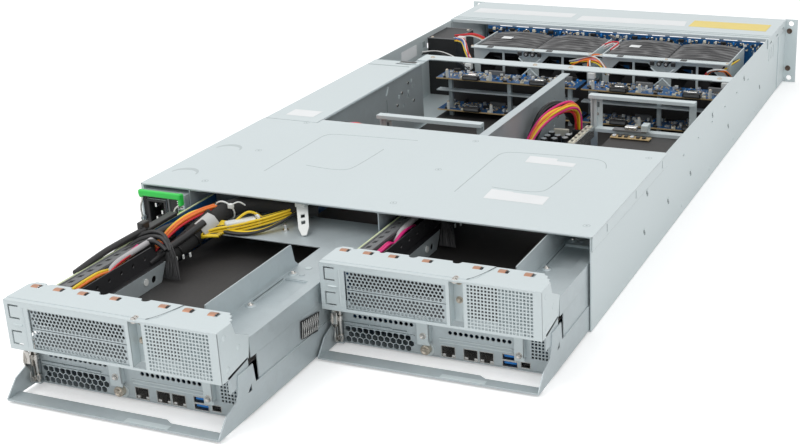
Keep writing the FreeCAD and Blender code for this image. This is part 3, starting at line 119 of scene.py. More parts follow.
class ShaderTree(Tree):
    def __init__(self, name):
        self.material = bpy.data.materials.new(name)
        self.material.use_nodes = True
        self.nodes = self.material.node_tree.nodes
        self.links = self.material.node_tree.links
        self.surface = self.nodes["Principled BSDF"]

    def set(self, **values):
        for key, value in values.items():
            self.feed(self.surface.inputs[key.replace("_", " ")], value)
        return self.material

    def place(self):
        return self.add("ShaderNodeTexCoord", output="Object")

    def noise(self, scale, detail=3, stretch=(1, 1, 1)):
        where = self.add("ShaderNodeMapping", {}, {"Vector": self.place(), "Scale": stretch})
        return self.add("ShaderNodeTexNoise", {},
                        {"Vector": where, "Scale": scale, "Detail": detail})

    def mix(self, factor, first, second):
        return self.add("ShaderNodeMix", {"data_type": "RGBA"}, {0: factor, 6: first, 7: second},
                        output=2)

    def bump(self, height, strength, distance=0.0002, normal=None):
        values = {"Height": height, "Strength": strength, "Distance": distance}
        if normal:
            values["Normal"] = normal
        return self.add("ShaderNodeBump", {}, values)

    def roundEdge(self, radius=0.0004):
        return self.add("ShaderNodeBevel", {"samples": 4}, {"Radius": radius})


class ShapeTree(Tree):
    def __init__(self, name, **inputs):
        self.group = bpy.data.node_groups.new(name, "GeometryNodeTree")
        self.nodes, self.links = self.group.nodes, self.group.links
        face = self.group.interface
        face.new_socket("Geometry", in_out="OUTPUT", socket_type="NodeSocketGeometry")
        face.new_socket("Geometry", in_out="INPUT", socket_type="NodeSocketGeometry")
        self.keys = {label: face.new_socket(label, in_out="INPUT",
                                            socket_type=f"NodeSocket{kind}").identifier
                     for label, kind in inputs.items()}
        self.source = self.nodes.new("NodeGroupInput")

    def ask(self, label):
        return Signal(self, self.source.outputs[label])

    def result(self, signal):
        self.links.new(signal.socket, self.nodes.new("NodeGroupOutput").inputs["Geometry"])

    def put(self, piece, **values):
        step = piece.modifiers.new(self.group.name, "NODES")
        step.node_group = self.group
        for label, value in values.items():
            step[self.keys[label]] = value


# finishes

def shades(colour, spread):
    dark = tuple(channel * (1 - spread) for channel in colour)
    light = tuple(min(1, channel * (1 + spread)) for channel in colour)
    return dark, light


def metalFinish(name, colour, metallic, roughness, grain=0.12, spangle=0.0, brushed=(1, 1, 1)):
    tree = ShaderTree(name)
    fine = tree.noise(420, 3, brushed)
    shade = tree.noise(9, 2) * 0.5 + fine * 0.5
    if spangle:
        crystal = tree.add("ShaderNodeTexVoronoi", {}, {"Vector": tree.place(), "Scale": 110.0},
                           output="Color")
        tint = tree.add("ShaderNodeSeparateColor", {}, {"Color": crystal})
        shade = shade * (1 - spangle) + tint * spangle
    rough = shade * 0.14 + (roughness - 0.07)
    return tree.set(Base_Color=tree.mix(shade, *shades(colour, grain)), Metallic=metallic,
                    Roughness=rough, Normal=tree.bump(fine, 0.08, 0.0001, tree.roundEdge()))


def plasticFinish(name, colour, roughness, grain=0.1, scale=900, bump=0.15):
    tree = ShaderTree(name)
    fine = tree.noise(scale, 2)
    cloud = tree.noise(25, 2)
    return tree.set(Base_Color=tree.mix(cloud, *shades(colour, grain)),
                    Roughness=fine * 0.1 + roughness,
                    Normal=tree.bump(fine, bump, 0.0001, tree.roundEdge()))


def boardFinish(name, base, trace):
    tree = ShaderTree(name)
    cell = tree.add("ShaderNodeTexBrick", {"offset": 0.5, "squash": 1.0},
                    {"Vector": tree.place(), "Scale": 60.0, "Mortar Size": 0.012, "Color1": base,
                     "Color2": base, "Mortar": trace})
    speck = tree.add("ShaderNodeTexVoronoi", {"feature": "DISTANCE_TO_EDGE"},
                     {"Vector": tree.place(), "Scale": 130.0})
    lively = tree.mix(tree.noise(60, 4), base, tuple(channel * 1.6 for channel in base))
    laced = tree.mix((speck < 0.035) * 0.5, lively, trace)
    return tree.set(Base_Color=tree.mix(0.25, laced, cell), Roughness=0.34, Coat_Weight=0.25)


finish = {
    "shell": metalFinish("paleSteel", (0.62, 0.69, 0.705), 0.25, 0.42, 0.05),
    "sheet": metalFinish("galvanisedSteel", (0.5, 0.56, 0.58), 0.45, 0.42, 0.1, 0.25),
    "dark_sheet": plasticFinish("blackSheet", (0.02, 0.02, 0.022), 0.4),
    "film": plasticFinish("blackFilm", (0.035, 0.033, 0.032), 0.5, 0.2, 500),
    "board": boardFinish("blueBoard", (0.008, 0.065, 0.19), (0.03, 0.2, 0.4)),
    "black_plastic": plasticFinish("blackPlastic", (0.012, 0.012, 0.013), 0.45),
    "fan_plastic": plasticFinish("fanPlastic", (0.018, 0.018, 0.02), 0.5),
    "green_plastic": plasticFinish("greenPlastic", (0.03, 0.62, 0.08), 0.3, 0.06),
    "lime_plastic": plasticFinish("limePlastic", (0.2, 0.56, 0.02), 0.3, 0.06),
    "stainless": metalFinish("stainless", (0.62, 0.6, 0.57), 1.0, 0.22, 0.1),
    "cable_sleeve": plasticFinish("braidedSleeve", (0.012, 0.012, 0.012), 0.7, 0.3, 1600, 0.6),
}
trim = {
    "copper": metalFinish("copperSpring", (0.5, 0.27, 0.18), 0.85, 0.32, 0.1),
    "screw": metalFinish("screwSteel", (0.56, 0.5, 0.42), 0.85, 0.3, 0.12),
    "brightTin": metalFinish("tinPlate", (0.7, 0.7, 0.68), 0.9, 0.25, 0.08),
    "paperLabel": plasticFinish("blankLabel", (0.8, 0.82, 0.83), 0.5, 0.06, 300, 0.05),
    "yellowLabel": plasticFinish("blankYellowLabel", (0.82, 0.66, 0.2), 0.5, 0.05, 300, 0.05),
    "nylon": plasticFinish("whiteNylon", (0.74, 0.76, 0.74), 0.4, 0.05),
    "blueTongue": plasticFinish("bluePort", (0.01, 0.2, 0.62), 0.35),
    # darker grey for stamped lines, press marks, lances and notches: painted shade in their creases
    "paintedShadeLine": metalFinish("paintedStampShade", (0.36, 0.42, 0.43), 0.25, 0.45, 0.05),
    # slightly darker grey for the stamped half-moons: painted shade in the dimple
    "shellShade": metalFinish("stampedShade", (0.5, 0.56, 0.57), 0.25, 0.5, 0.05),
    "bronzeScrew": metalFinish("bronzeScrew", (0.14, 0.1, 0.08), 0.6, 0.4),
    # near-black for slits, seams and the gap under the flange: painted shadow
    "paintedGapShadow": metalFinish("paintedGapShadow", (0.16, 0.19, 0.2), 0.3, 0.5, 0.05),
    "sleeveFilm": plasticFinish("wrinkledFilm", (0.012, 0.012, 0.014), 0.27, 0.2, 160, 0.35),
    "paleEdge": plasticFinish("boardRim", (0.6, 0.68, 0.42), 0.45),
    "railGrey": plasticFinish("slotGrey", (0.16, 0.165, 0.17), 0.4),
    "clothGrey": plasticFinish("clothSleeve", (0.5, 0.49, 0.5), 0.8, 0.15, 1300, 0.5),
    "socketBlack": plasticFinish("socketBlack", (0.015, 0.015, 0.016), 0.4),
    "greyPlastic": plasticFinish("greyPlastic", (0.32, 0.33, 0.33), 0.45),
    "boardEdge": plasticFinish("boardEdge", (0.55, 0.4, 0.2), 0.5),
    "cream": plasticFinish("creamConnector", (0.75, 0.72, 0.6), 0.4),
    "canSilver": metalFinish("capacitorCan", (0.66, 0.68, 0.7), 0.8, 0.3, 0.05),
    "chipBlack": plasticFinish("chipBlack", (0.02, 0.02, 0.02), 0.35),
    "tapeGrey": plasticFinish("fleeceTape", (0.55, 0.56, 0.55), 0.85, 0.12, 1200, 0.5),
}
wireColours = {"orange": (0.85, 0.2, 0.03), "red": (0.62, 0.02, 0.03), "magenta": (0.7, 0.02, 0.2),
               "yellow": (0.85, 0.6, 0.02), "white": (0.72, 0.72, 0.7), "blue": (0.03, 0.15, 0.55),
               "black": (0.015, 0.015, 0.016)}
wires = {f"{name}Wire": plasticFinish(f"{name}Wire", colour, 0.38)
         for name, colour in wireColours.items()}
everyFinish = {**finish, **trim, **wires}

slotOf = {entry["node"]: entry["material_slot"] for entry in frame["record"]["subparts"]}
for nodeName, nodeObject in frame["nodes"].items():
    nodeObject.data.materials.clear()
    nodeObject.data.materials.append(finish[slotOf[nodeName]])
print("finishes on the frame")


# sheet metal: outlines and holes are edge loops, filled and given their thickness

def makeHoleField():
    tree = ShapeTree("holeField", Columns="Int", Rows="Int", StartAcross="Float", StartUp="Float",
                     PitchAcross="Float", PitchUp="Float", Shift="Float", Radius="Float",
                     Sides="Int", Turn="Float")
    index = tree.add("GeometryNodeInputIndex")
    columns, row = tree.ask("Columns"), (index / tree.ask("Columns")).floor()
    across = tree.ask("StartAcross") + (index % columns) * tree.ask("PitchAcross")
    across = across + (row % 2) * tree.ask("Shift")
    up = tree.ask("StartUp") + row * tree.ask("PitchUp")
    where = tree.add("ShaderNodeCombineXYZ", {}, (across, up))
    points = tree.add("GeometryNodePoints", {},
                      {"Count": columns * tree.ask("Rows"), "Position": where})
    hole = tree.add("GeometryNodeMeshCircle", {"fill_type": "NONE"},
                    {"Vertices": tree.ask("Sides"), "Radius": tree.ask("Radius")})
    turn = tree.add("ShaderNodeCombineXYZ", {}, {"Z": tree.ask("Turn")})
    holes = tree.add("GeometryNodeInstanceOnPoints", {},
                     {"Points": points, "Instance": hole, "Rotation": turn})
    loose = tree.add("GeometryNodeRealizeInstances", {}, (holes,))
    tree.result(tree.add("GeometryNodeJoinGeometry", {}, {0: [tree.ask("Geometry"), loose]}))
    return tree


def makePressSheet():
    tree = ShapeTree("pressSheet", Thickness="Float", Finish="Material")
    loops = tree.add("GeometryNodeMeshToCurve", {}, (tree.ask("Geometry"),))
    face = tree.add("GeometryNodeFillCurve", {}, {"Curve": loops})
    raised = tree.add("GeometryNodeExtrudeMesh", {},
                      {"Mesh": face, "Offset Scale": tree.ask("Thickness"), "Individual": False})
    back = tree.add("GeometryNodeFlipFaces", {}, (face,))
    both = tree.add("GeometryNodeJoinGeometry", {}, {0: [raised, back]})
    whole = tree.add("GeometryNodeMergeByDistance", {}, {"Geometry": both, "Distance": 0.001})
    solid = tree.add("GeometryNodeRealizeInstances", {}, (whole,))
    tree.result(tree.add("GeometryNodeSetMaterial", {},
                         {"Geometry": solid, "Material": tree.ask("Finish")}))
    return tree


holeField = makeHoleField()
pressSheet = makePressSheet()
facing = {   # sheet plane to row frame: across, up and the side that the sheet grows towards
    "rear": Matrix(((1, 0, 0, 0), (0, 0, -1, 0), (0, 1, 0, 0), (0, 0, 0, 1))),
    "top": Matrix.Identity(4),
    "side": Matrix(((0, 0, 1, 0), (1, 0, 0, 0), (0, 1, 0, 0), (0, 0, 0, 1))),
}
quarter, fullTurn = math.pi / 2, 2 * math.pi
holeKinds = {   # sides, turn, and a row's shift and rise as shares of the pitch
    "square": (4, quarter / 2, 0.0, 1.0), "hexagon": (6, quarter / 3, 0.5, math.sqrt(3) / 2),
    "round": (14, 0.0, 0.0, 1.0),
}
upward, rearward = (0, 0, 1), (0, -1, 0)
millimetre = 0.001


def oblong(across, up):
    return [(across[0], up[0]), (across[1], up[0]), (across[1], up[1]), (across[0], up[1])]


def roundLoop(across, up, radius, steps=5):
    middles = ((across[1] - radius, up[1] - radius), (across[0] + radius, up[1] - radius),
               (across[0] + radius, up[0] + radius), (across[1] - radius, up[0] + radius))
    return [(middle[0] + radius * math.cos(quarter * (corner + step / steps)),
             middle[1] + radius * math.sin(quarter * (corner + step / steps)))
            for corner, middle in enumerate(middles) for step in range(steps + 1)]


def discLoop(centre, radius, sides=20):
    return [(centre[0] + radius * math.cos(fullTurn * side / sides),
             centre[1] + radius * math.sin(fullTurn * side / sides)) for side in range(sides)]


def hoop(centre, first, second, steps):   # closed ring of points spanned by two radii
    turns = (fullTurn * step / steps for step in range(steps))
    return [Vector(centre) + Vector(first) * math.cos(turn) + Vector(second) * math.sin(turn)
            for turn in turns]


def holeRows(kind, columns, rows, start, pitch, radius):
    sides, turn, shift, rise = holeKinds[kind]
    return {"Columns": columns, "Rows": rows, "StartAcross": start[0], "StartUp": start[1],
            "PitchAcross": pitch, "PitchUp": pitch * rise, "Shift": pitch * shift, "Radius": radius,
            "Sides": sides, "Turn": turn}


def place(data):   # puts data into the scene under its own name
    holder = bpy.data.objects.new(data.name, data)
    bpy.context.scene.collection.objects.link(holder)
    return holder


def settle(holder):   # the mesh that an object's modifiers leave
    ready = holder.evaluated_get(bpy.context.evaluated_depsgraph_get())
    mesh = bpy.data.meshes.new_from_object(ready)
    bpy.data.objects.remove(holder)
    return mesh


def turned(direction):   # turns the z axis into a direction
    return Vector(direction).to_track_quat("Z", "Y").to_matrix().to_4x4()


def sheetMesh(loops, thickness, material, fields=()):
    mesh = bpy.data.meshes.new("sheet")
    corners, edges = [], []
    for loop in loops:
        first = len(corners)
        corners += [(across, up, 0) for across, up in loop]
        edges += [(first + step, first + (step + 1) % len(loop)) for step in range(len(loop))]
    mesh.from_pydata(corners, edges, [])
    blank = place(mesh)
    for field in fields:
        holeField.put(blank, **field)
    pressSheet.put(blank, Thickness=thickness, Finish=material)
    return settle(blank)


class Piece:   # gathers the shapes of one piece, in millimetres, each with its own finish
    def __init__(self, name, origin=(0, 0, 0)):
        self.name, self.shape, self.finishes = name, bmesh.new(), []
        self.origin = Vector(origin)

    def take(self, mesh, finishName, stand=None, smooth=False):
        if finishName not in self.finishes:
            self.finishes.append(finishName)
        number = self.finishes.index(finishName)
        if stand is not None:
            mesh.transform(stand)
        before = len(self.shape.faces)
        self.shape.from_mesh(mesh)
        self.shape.faces.ensure_lookup_table()
        for face in self.shape.faces[before:]:
            face.material_index = number
            face.smooth = smooth
        bpy.data.meshes.remove(mesh)

    def sheet(self, loops, reach, finishName, plane="rear", fields=()):
        # reach holds the two faces' places along the axis that the sheet is normal to
        mesh = sheetMesh(loops, abs(reach[1] - reach[0]), everyFinish[finishName], fields)
        along = {"rear": Vector((0, max(reach), 0)), "top": Vector((0, 0, min(reach))),
                 "side": Vector((min(reach), 0, 0))}[plane]
        self.take(mesh, finishName, Matrix.Translation(along) @ facing[plane])

    def solid(self, build, finishName, bevel=0.0, steps=2, smooth=False, stand=None):
        work = bmesh.new()
        build(work)
        if bevel:
            sharp = [edge for edge in work.edges if edge.calc_face_angle(0) > 0.6]
            bmesh.ops.bevel(work, geom=sharp, offset=bevel, segments=steps, affect="EDGES",
                            profile=0.5, clamp_overlap=True)
        bmesh.ops.recalc_face_normals(work, faces=work.faces)
        mesh = bpy.data.meshes.new("solid")
        work.to_mesh(mesh)
        work.free()
        self.take(mesh, finishName, stand, smooth)

    def block(self, low, high, finishName, bevel=0.3, steps=1, stand=None):
        size = [high[axis] - low[axis] for axis in range(3)]
        middle = [(high[axis] + low[axis]) / 2 for axis in range(3)]

        def build(work):
            bmesh.ops.create_cube(work, size=1,
                                  matrix=Matrix.Translation(middle) @ Matrix.Diagonal((*size, 1)))
        self.solid(build, finishName, min(bevel, 0.4 * min(size)), steps, stand=stand)

    def rod(self, start, end, radius, finishName, sides=20, tip=None, bevel=0.0):
        line = Vector(end) - Vector(start)
        stand = Matrix.Translation((Vector(start) + Vector(end)) / 2) @ turned(line)

        def build(work):
            bmesh.ops.create_cone(work, cap_ends=True, segments=sides, radius1=radius,
                                  radius2=radius if tip is None else tip, depth=line.length,
                                  matrix=stand)
        self.solid(build, finishName, bevel, 2)

    def dome(self, centre, radius, height, direction, finishName, sides=16, rings=5):
        stretch = Matrix.Diagonal((radius, radius, height, 1))
        stand = Matrix.Translation(centre) @ turned(direction) @ stretch

        def build(work):
            bmesh.ops.create_uvsphere(work, u_segments=sides, v_segments=2 * rings, radius=1,
                                      matrix=stand)
        self.solid(build, finishName, smooth=True)

    def screw(self, centre, radius, direction, finishName="screw", height=None):
        height = height or radius * 0.5
        way = Vector(direction).normalized()
        base = Vector(centre)
        self.rod(base, base + way * height * 0.3, radius * 1.25, finishName, 20)

        def build(work):
            bmesh.ops.create_cone(work, cap_ends=True, segments=20, radius1=radius,
                                  radius2=radius * 0.8, depth=height)
            top = [face for face in work.faces if face.normal.z > 0.9]
            bmesh.ops.inset_region(work, faces=top, thickness=radius * 0.38)
            bmesh.ops.translate(work, verts=list({corner for face in top for corner in face.verts}),
                                vec=(0, 0, -height * 0.55))
        self.solid(build, finishName, stand=Matrix.Translation(base + way * height * 0.8)
                   @ turned(way))

    def wire(self, points, radius, finishName, rings=8, cyclic=False, order=3):
        curve = bpy.data.curves.new("wire", "CURVE")
        curve.dimensions = "3D"
        curve.bevel_depth, curve.bevel_resolution, curve.use_fill_caps = radius, 2, True
        curve.resolution_u = rings
        spline = curve.splines.new("NURBS")
        spline.points.add(len(points) - 1)
        for knot, point in zip(spline.points, points):
            knot.co = (*point, 1)
        spline.use_cyclic_u = cyclic
        spline.order_u = min(order, len(points))
        spline.use_endpoint_u = not cyclic
        holder = bpy.data.objects.new("wire", curve)
        mesh = bpy.data.meshes.new_from_object(holder)
        bpy.data.objects.remove(holder)
        bpy.data.curves.remove(curve)
        self.take(mesh, finishName, smooth=True)

    def close(self, body, slot, replaces=()):
        mesh = bpy.data.meshes.new(self.name)
        self.shape.to_mesh(mesh)
        self.shape.free()
        mesh.transform(Matrix.Scale(millimetre, 4) @ Matrix.Translation(self.origin))
        for finishName in self.finishes:
            mesh.materials.append(everyFinish[finishName])
        piece = place(mesh)
        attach(piece, body)
        if replaces:
            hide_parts(*replaces)
        return piece


def span(nodeName, origin=(0, 0, 0)):   # a frame node's box in millimetres, seen from an origin
    return [Vector(corner) / millimetre - Vector(origin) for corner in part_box(nodeName)]


# tray rear: bracket, slot covers, socket panel

handleReach = 35.0   # from the pull handle's tip to the panel
bracketPlan = {"reach": 23.0, "low": 42.0, "high": 84.0, "sheet": 1.0, "right": 194.0,
               "slotWindow": ((23.3, 113.3), (44.5, 78.5)), "channel": (116.3, 128.3),
               "channelDepth": 10.0,
               "vent": ("square", 19, 13, (132.6, 45.4), 2.95, 1.95 / math.sqrt(2)),
               "clips": (9.2, 30.8, 54, 84.3, 128.8, 150.7, 172.8), "clipDepth": 6.0,
               "clipSize": (6.2, 7.4), "scallops": ((17, 2.4), (42, 3.0), (70, 4.2), (109, 4.2)),
               "dimples": ((-14, 76.5), (3, 61), (-13, 50)),
               "tabs": ((4.5, 14.5, 68.5, 80.5), (4.5, 14.5, 46.5, 58.5)), "tabSlit": 1.35}


def trayOrigin(side):
    low = span(f"{side}_tray_pan")[0]
    return low.x, low.y + handleReach, 0


def tabLoop(left, right, low, high, slit):
    # a C-shaped slit, open on the right
    return [(left, low), (right, low), (right, low + slit), (left + slit, low + slit),
            (left + slit, high - slit), (right, high - slit), (right, high), (left, high)]


def scallop(centre, depth, radius, steps=6):
    return [(centre + radius * math.cos(math.pi * step / steps),
             depth - radius * math.sin(math.pi * step / steps)) for step in range(steps + 1)][::-1]


def makeBracket(side):
    plan = bracketPlan
    face = -plan["reach"]
    low, high, sheet = plan["low"], plan["high"], plan["sheet"]
    piece = Piece(f"{side}_card_bracket", trayOrigin(side))
    windows = [oblong(*plan["slotWindow"]), oblong(plan["channel"], (low + 2, high - sheet - 0.6))]
    windows += [tabLoop(*tab, plan["tabSlit"]) for tab in plan["tabs"]]
    outline = oblong((1, plan["right"]), (low, high - sheet))
    piece.sheet([outline] + windows, (face + sheet, face), "shell", "rear",
                [holeRows(*plan["vent"])])

    # roof with its scalloped inner edge, and a slot under each copper spring
    inner = 12.0
    roof = [(1, -plan["reach"]), (plan["right"], -plan["reach"]), (plan["right"], -3)]
    roof += [(plan["right"] - back, along) for back, along in ((2, -1.5), (2.4, 2.5), (5.4, 3.5),
                                                               (6, 8), (9, 9), (10, inner))]
    for centre, radius in reversed(plan["scallops"]):
        roof += scallop(centre, inner, radius)[::-1]
    roof += [(5, inner), (1, inner - 5)]
    width, length = plan["clipSize"]
    slots = [oblong((across - width / 2, across + width / 2 + 2.5),
                    (plan["clipDepth"] - length / 2, plan["clipDepth"] + 2.4))
             for across in plan["clips"]]
    piece.sheet([roof] + slots, (high - sheet, high), "shell", "top")
    seam = [(142.9, inner), (136.5, -13), (130, -18.5), (1, -18.5), (1, inner - 5), (5, inner)]
    for centre, radius in plan["scallops"]:
        seam += scallop(centre, inner, radius)
    piece.sheet([seam] + slots[:5], (high, high + 0.35), "shell", "top")
    for across in plan["clips"]:
        left, right = across - width / 2, across + width / 2
        arch = [(plan["clipDepth"] - length / 2 + length * step / 8,
                 high - 0.4 + 1.3 * math.sin(math.pi * (0.12 + 0.8 * step / 8)))
                for step in range(9)]
        loop = arch + [(along, up - 0.35) for along, up in reversed(arch)]
        piece.sheet([loop], (left, right), "copper", "side")
        # black block in the slot beside each spring: painted shade of the open slit
        piece.block((right, arch[0][0] + 1.2, high - 0.2),
                    (right + 1.3, arch[-1][0] - 1.6, high + 0.25), "socketBlack", 0.1)
    # dark wire along the roof seam's edge: painted shade
    piece.wire([(across, along, high + 0.28) for across, along in seam[:3]], 0.32, "paintedGapShadow", 4)

    # cheeks, their round stampings and the recess between the slots and the vent
    cheek = [(face + 0.4, low), (-12, low), (14.9, 46.8), (18, 64.6), (0.5, 73.7),
             (-2.5, high - sheet), (face + 0.4, high - sheet)]
    piece.sheet([cheek], (plan["right"] - sheet, plan["right"]), "shell", "side")
    piece.sheet([cheek], (1, 1 + sheet), "shell", "side")
    for along, up in plan["dimples"]:
        piece.dome((plan["right"], along, up), 2.6, 0.55, (1, 0, 0), "shell")
    patch = [(-14, 30), (13.5, 30), (13.5, 48), (-14, 44)]
    piece.sheet([patch], (193.2, 194.0), "sheet", "side")
    piece.block((155, face + 7, 46), (190, face + 7.6, 80), "shell")
    piece.block((110, -34.6, 2.9), (149, -29, 3.4), "shell", 0.2)
    left, right = plan["channel"]
    back = face + plan["channelDepth"]
    piece.block((left - 1, face + 0.5, low + 2), (left, back, high - sheet), "shell", 0.2)
    piece.block((right, face + 0.5, low + 2), (right + 1, back, high - sheet), "shell", 0.2)
    piece.block((left - 1, back, low + 2), (right + 1, back + 1, high - sheet), "shell", 0.2)
    for up in (79, 63):
        piece.screw((left + 4.5, back, up), 2.4, rearward, "screw", 1.6)
    for step in range(4):   # ribbed head that hooks over the top of the channel
        piece.rod((left + 4.5, face + 0.6 + 1.5 * step, high - 1.0),
                  (left + 4.5, face + 1.7 + 1.5 * step, high - 1.0), 2.7 if step % 2 else 2.3,
                  "stainless", 18)
    piece.block((right - 2.6, back - 3.4, 58), (right - 1.4, back, 68), "shell", 0.2)

    # fold line beside the tabs and the short stamped bar between them
    piece.rod((18.6, face, low + 4), (18.6, face, high - 5), 0.55, "shell", 10)
    piece.rod((8, face, 63.5), (16, face, 63.5), 0.9, "shell", 10)
    return piece.close(f"{side}_tray", "shell", [f"{side}_gpu_bracket"])


coverPlan = {"pitch": 3.42, "hole": 2.85, "columns": 25, "rows": 5, "recess": 1.6, "gap": 0.35}


def makeSlotCovers(side):
    plan = coverPlan
    face = plan["recess"] - bracketPlan["reach"]
    (left, right), (low, high) = bracketPlan["slotWindow"]
    middle = (low + high) / 2
    piece = Piece(f"{side}_blank_covers", trayOrigin(side))
    for coverLow, coverHigh in ((low, middle - plan["gap"]), (middle + plan["gap"], high)):
        field = holeRows("hexagon", plan["columns"], plan["rows"], (left + 2.6, coverLow + 2.3),
                         plan["pitch"], plan["hole"] / 2)
        loop = oblong((left + 0.8, right), (coverLow, coverHigh))
        piece.sheet([loop], (face + 0.8, face), "sheet", "rear", [field])
        piece.block((left + 0.8, face + 0.8, coverHigh - 0.8), (right, face + 7, coverHigh),
                    "sheet", 0.2)
    # grey and black plates behind the perforations: painted shade of the tray's inside
    for backLow, backHigh, finishName in ((low + 1, middle - 1, "railGrey"),
                                          (middle + 1, high - 1, "film")):
        piece.block((left + 1.6, face + 5.4, backLow), (right - 1, face + 6, backHigh), finishName,
                    0.1)
    return piece.close(f"{side}_tray", "sheet", [f"{side}_slot_covers"])


panelPlan = {"low": 2.8, "high": 41.0, "sheet": 1.0, "right": 193.5,
             "vents": (("hexagon", 11, 3, (10.5, 5.3), 5.6, 4.9 / math.sqrt(3)),
                       ("round", 12, 1, (18.0, 27.5), 4.75, 1.75),
                       ("round", 12, 1, (105.0, 25.5), 4.75, 1.75),
                       ("square", 5, 7, (177.0, 14.6), 3.0, 1.9 / math.sqrt(2))),
             "screw": (84.6, 7.8), "jacks": ((97.0, 108.8), (117.0, 128.8), (131.0, 142.8)),
             "jackRise": (3.4, 12.8), "flatPorts": ((151.0, 163.5), (3.4, 8.0)),
             "flatPortStep": 6.0, "video": ((167.0, 174.6), (4.6, 9.2))}


def flatRises():   # the two flat ports stand one above the other
    low, high = panelPlan["flatPorts"][1]
    return [(low + shift, high + shift) for shift in (0, panelPlan["flatPortStep"])]


def makeSocketPanel(side):
    plan = panelPlan
    sheet = plan["sheet"]
    piece = Piece(f"{side}_socket_panel", trayOrigin(side))
    flat = [(plan["flatPorts"][0], rise) for rise in flatRises()]
    openings = [(reach, plan["jackRise"]) for reach in plan["jacks"]] + flat + [plan["video"]]
    loops = [oblong((1, plan["right"]), (plan["low"], plan["high"]))]
    loops += [oblong(*opening) for opening in openings]
    loops += [discLoop(plan["screw"], 2.3), oblong((5.4, 6.6), (8, 24))]
    piece.sheet(loops, (sheet, 0), "sheet", "rear", [holeRows(*vent) for vent in plan["vents"]])

    # stepped shelf over the hexagons, ribs over the sockets, screwed tabs
    for left, right, up in ((8, 31, 20.6), (32, 52, 20.6), (53, 66, 20.0)):
        piece.block((left, -1.6, up), (right, 0, up + 1.2), "sheet", 0.3)
    piece.block((8, -0.8, 17.6), (73, 0, 18.6), "sheet", 0.2)
    for up in (16.2, 19.2):
        piece.rod((95, 0, up), (160, 0, up), 0.7, "shell", 10)
    piece.block((4, -3.4, 4), (5.2, 0, 30), "sheet", 0.2)
    for left, right, low, high, screwUp in ((76.5, 88, 12.5, 39, 21), (162.5, 171.2, 11.5, 39, 17)):
        piece.block((left, -4.2, low), (right, -3.2, high), "shell", 0.3)
        piece.block((right - 1, -4.2, low + 3), (right, 0, high), "shell", 0.2)
        piece.screw(((left + right) / 2, -4.2, screwUp), 2.3, rearward, "stainless", 1.4)
    piece.rod((plan["screw"][0], 0, plan["screw"][1]), (plan["screw"][0], -0.8, plan["screw"][1]),
              5.9, "shell", 28)

    # latch post between its two lugs
    latchX, latchY = 6, -4
    piece.rod((latchX, latchY, 3), (latchX, latchY, 41), 1.45, "stainless", 16)
    for low in (3.0, 39.3):
        piece.block((latchX - 3, latchY - 2, low), (latchX + 3, 0, low + 1.4), "sheet", 0.3)
    return piece.close(f"{side}_tray", "sheet", [f"{side}_io_panel"])


def makeSockets(side):
    plan = panelPlan
    depth = 13.0
    piece = Piece(f"{side}_socket_block", trayOrigin(side))

    def shellRound(reach, rise, deep, finishName, wall=0.5):
        outer = oblong((reach[0] - wall, reach[1] + wall), (rise[0] - wall, rise[1] + wall))
        inner = oblong(reach, rise)
        piece.sheet([outer, inner], (deep, -0.35), finishName)
        piece.block((reach[0], deep - 1, rise[0]), (reach[1], deep, rise[1]), "socketBlack", 0.1)

    for reach in plan["jacks"]:
        low, high = plan["jackRise"]
        shellRound(reach, (low, high), depth, "brightTin")
        middle = (reach[0] + reach[1]) / 2
        for sign in (-1, 1):   # the plug's latch notch leaves two shoulders low in the mouth
            piece.block((middle + sign * 4.3 - 1.6, 0.4, low),
                        (middle + sign * 4.3 + 1.6, 2.2, low + 2.0), "brightTin", 0.15)
        for pin in range(8):
            across = middle - 3.57 + 1.02 * pin
            piece.rod((across, 2.5, high - 1.0), (across, 10, high - 2.6), 0.22, "copper", 6)
    reach = plan["flatPorts"][0]
    for rise in flatRises():
        shellRound(reach, rise, depth, "brightTin")
        piece.block((reach[0] + 1, 0.8, rise[0] + 1.9), (reach[1] - 1, depth - 1, rise[0] + 3.9),
                    "blueTongue", 0.2)
    reach, rise = plan["video"]
    shellRound(reach, rise, 9.0, "brightTin")
    piece.block((reach[0] + 1.4, 0.8, rise[0] + 1.6), (reach[1] - 1.4, 8, rise[0] + 2.8),
                "socketBlack", 0.2)
    piece.block((93, depth, 2.8), (175, depth + 1, 14.5), "brightTin", 0.3)
    return piece.close(f"{side}_tray", "stainless", [f"{side}_io_ports"])


def makeThumbScrew(side):
    low, high = span(f"{side}_thumb_screw", trayOrigin(side))
    centre = Vector(((low.x + high.x) / 2, 0, (low.z + high.z) / 2))
    piece = Piece(f"{side}_captive_screw", trayOrigin(side))
    head = low.y

    def ridged(work):
        ring = []
        for turn in range(48):
            angle, reach = fullTurn * turn / 48, 4.4 if turn % 2 else 4.05
            ring.append(work.verts.new((centre.x + reach * math.cos(angle), head + 1.2,
                                        centre.z + reach * math.sin(angle))))
        front = work.faces.new(ring)
        push = bmesh.ops.extrude_face_region(work, geom=[front])
        bmesh.ops.translate(work, verts=[item for item in push["geom"]
                                         if isinstance(item, bmesh.types.BMVert)], vec=(0, 4.6, 0))
    piece.solid(ridged, "screw")
    piece.screw((centre.x, head + 1.3, centre.z), 3.2, rearward, "screw", 1.3)
    piece.rod((centre.x, head + 5.6, centre.z), (centre.x, high.y, centre.z), 1.95, "screw", 20)
    return piece.close(f"{side}_screw", "stainless", [f"{side}_thumb_screw"])


latchPlan = {"reach": 14.0, "sheet": 1.2, "inset": 3.0}


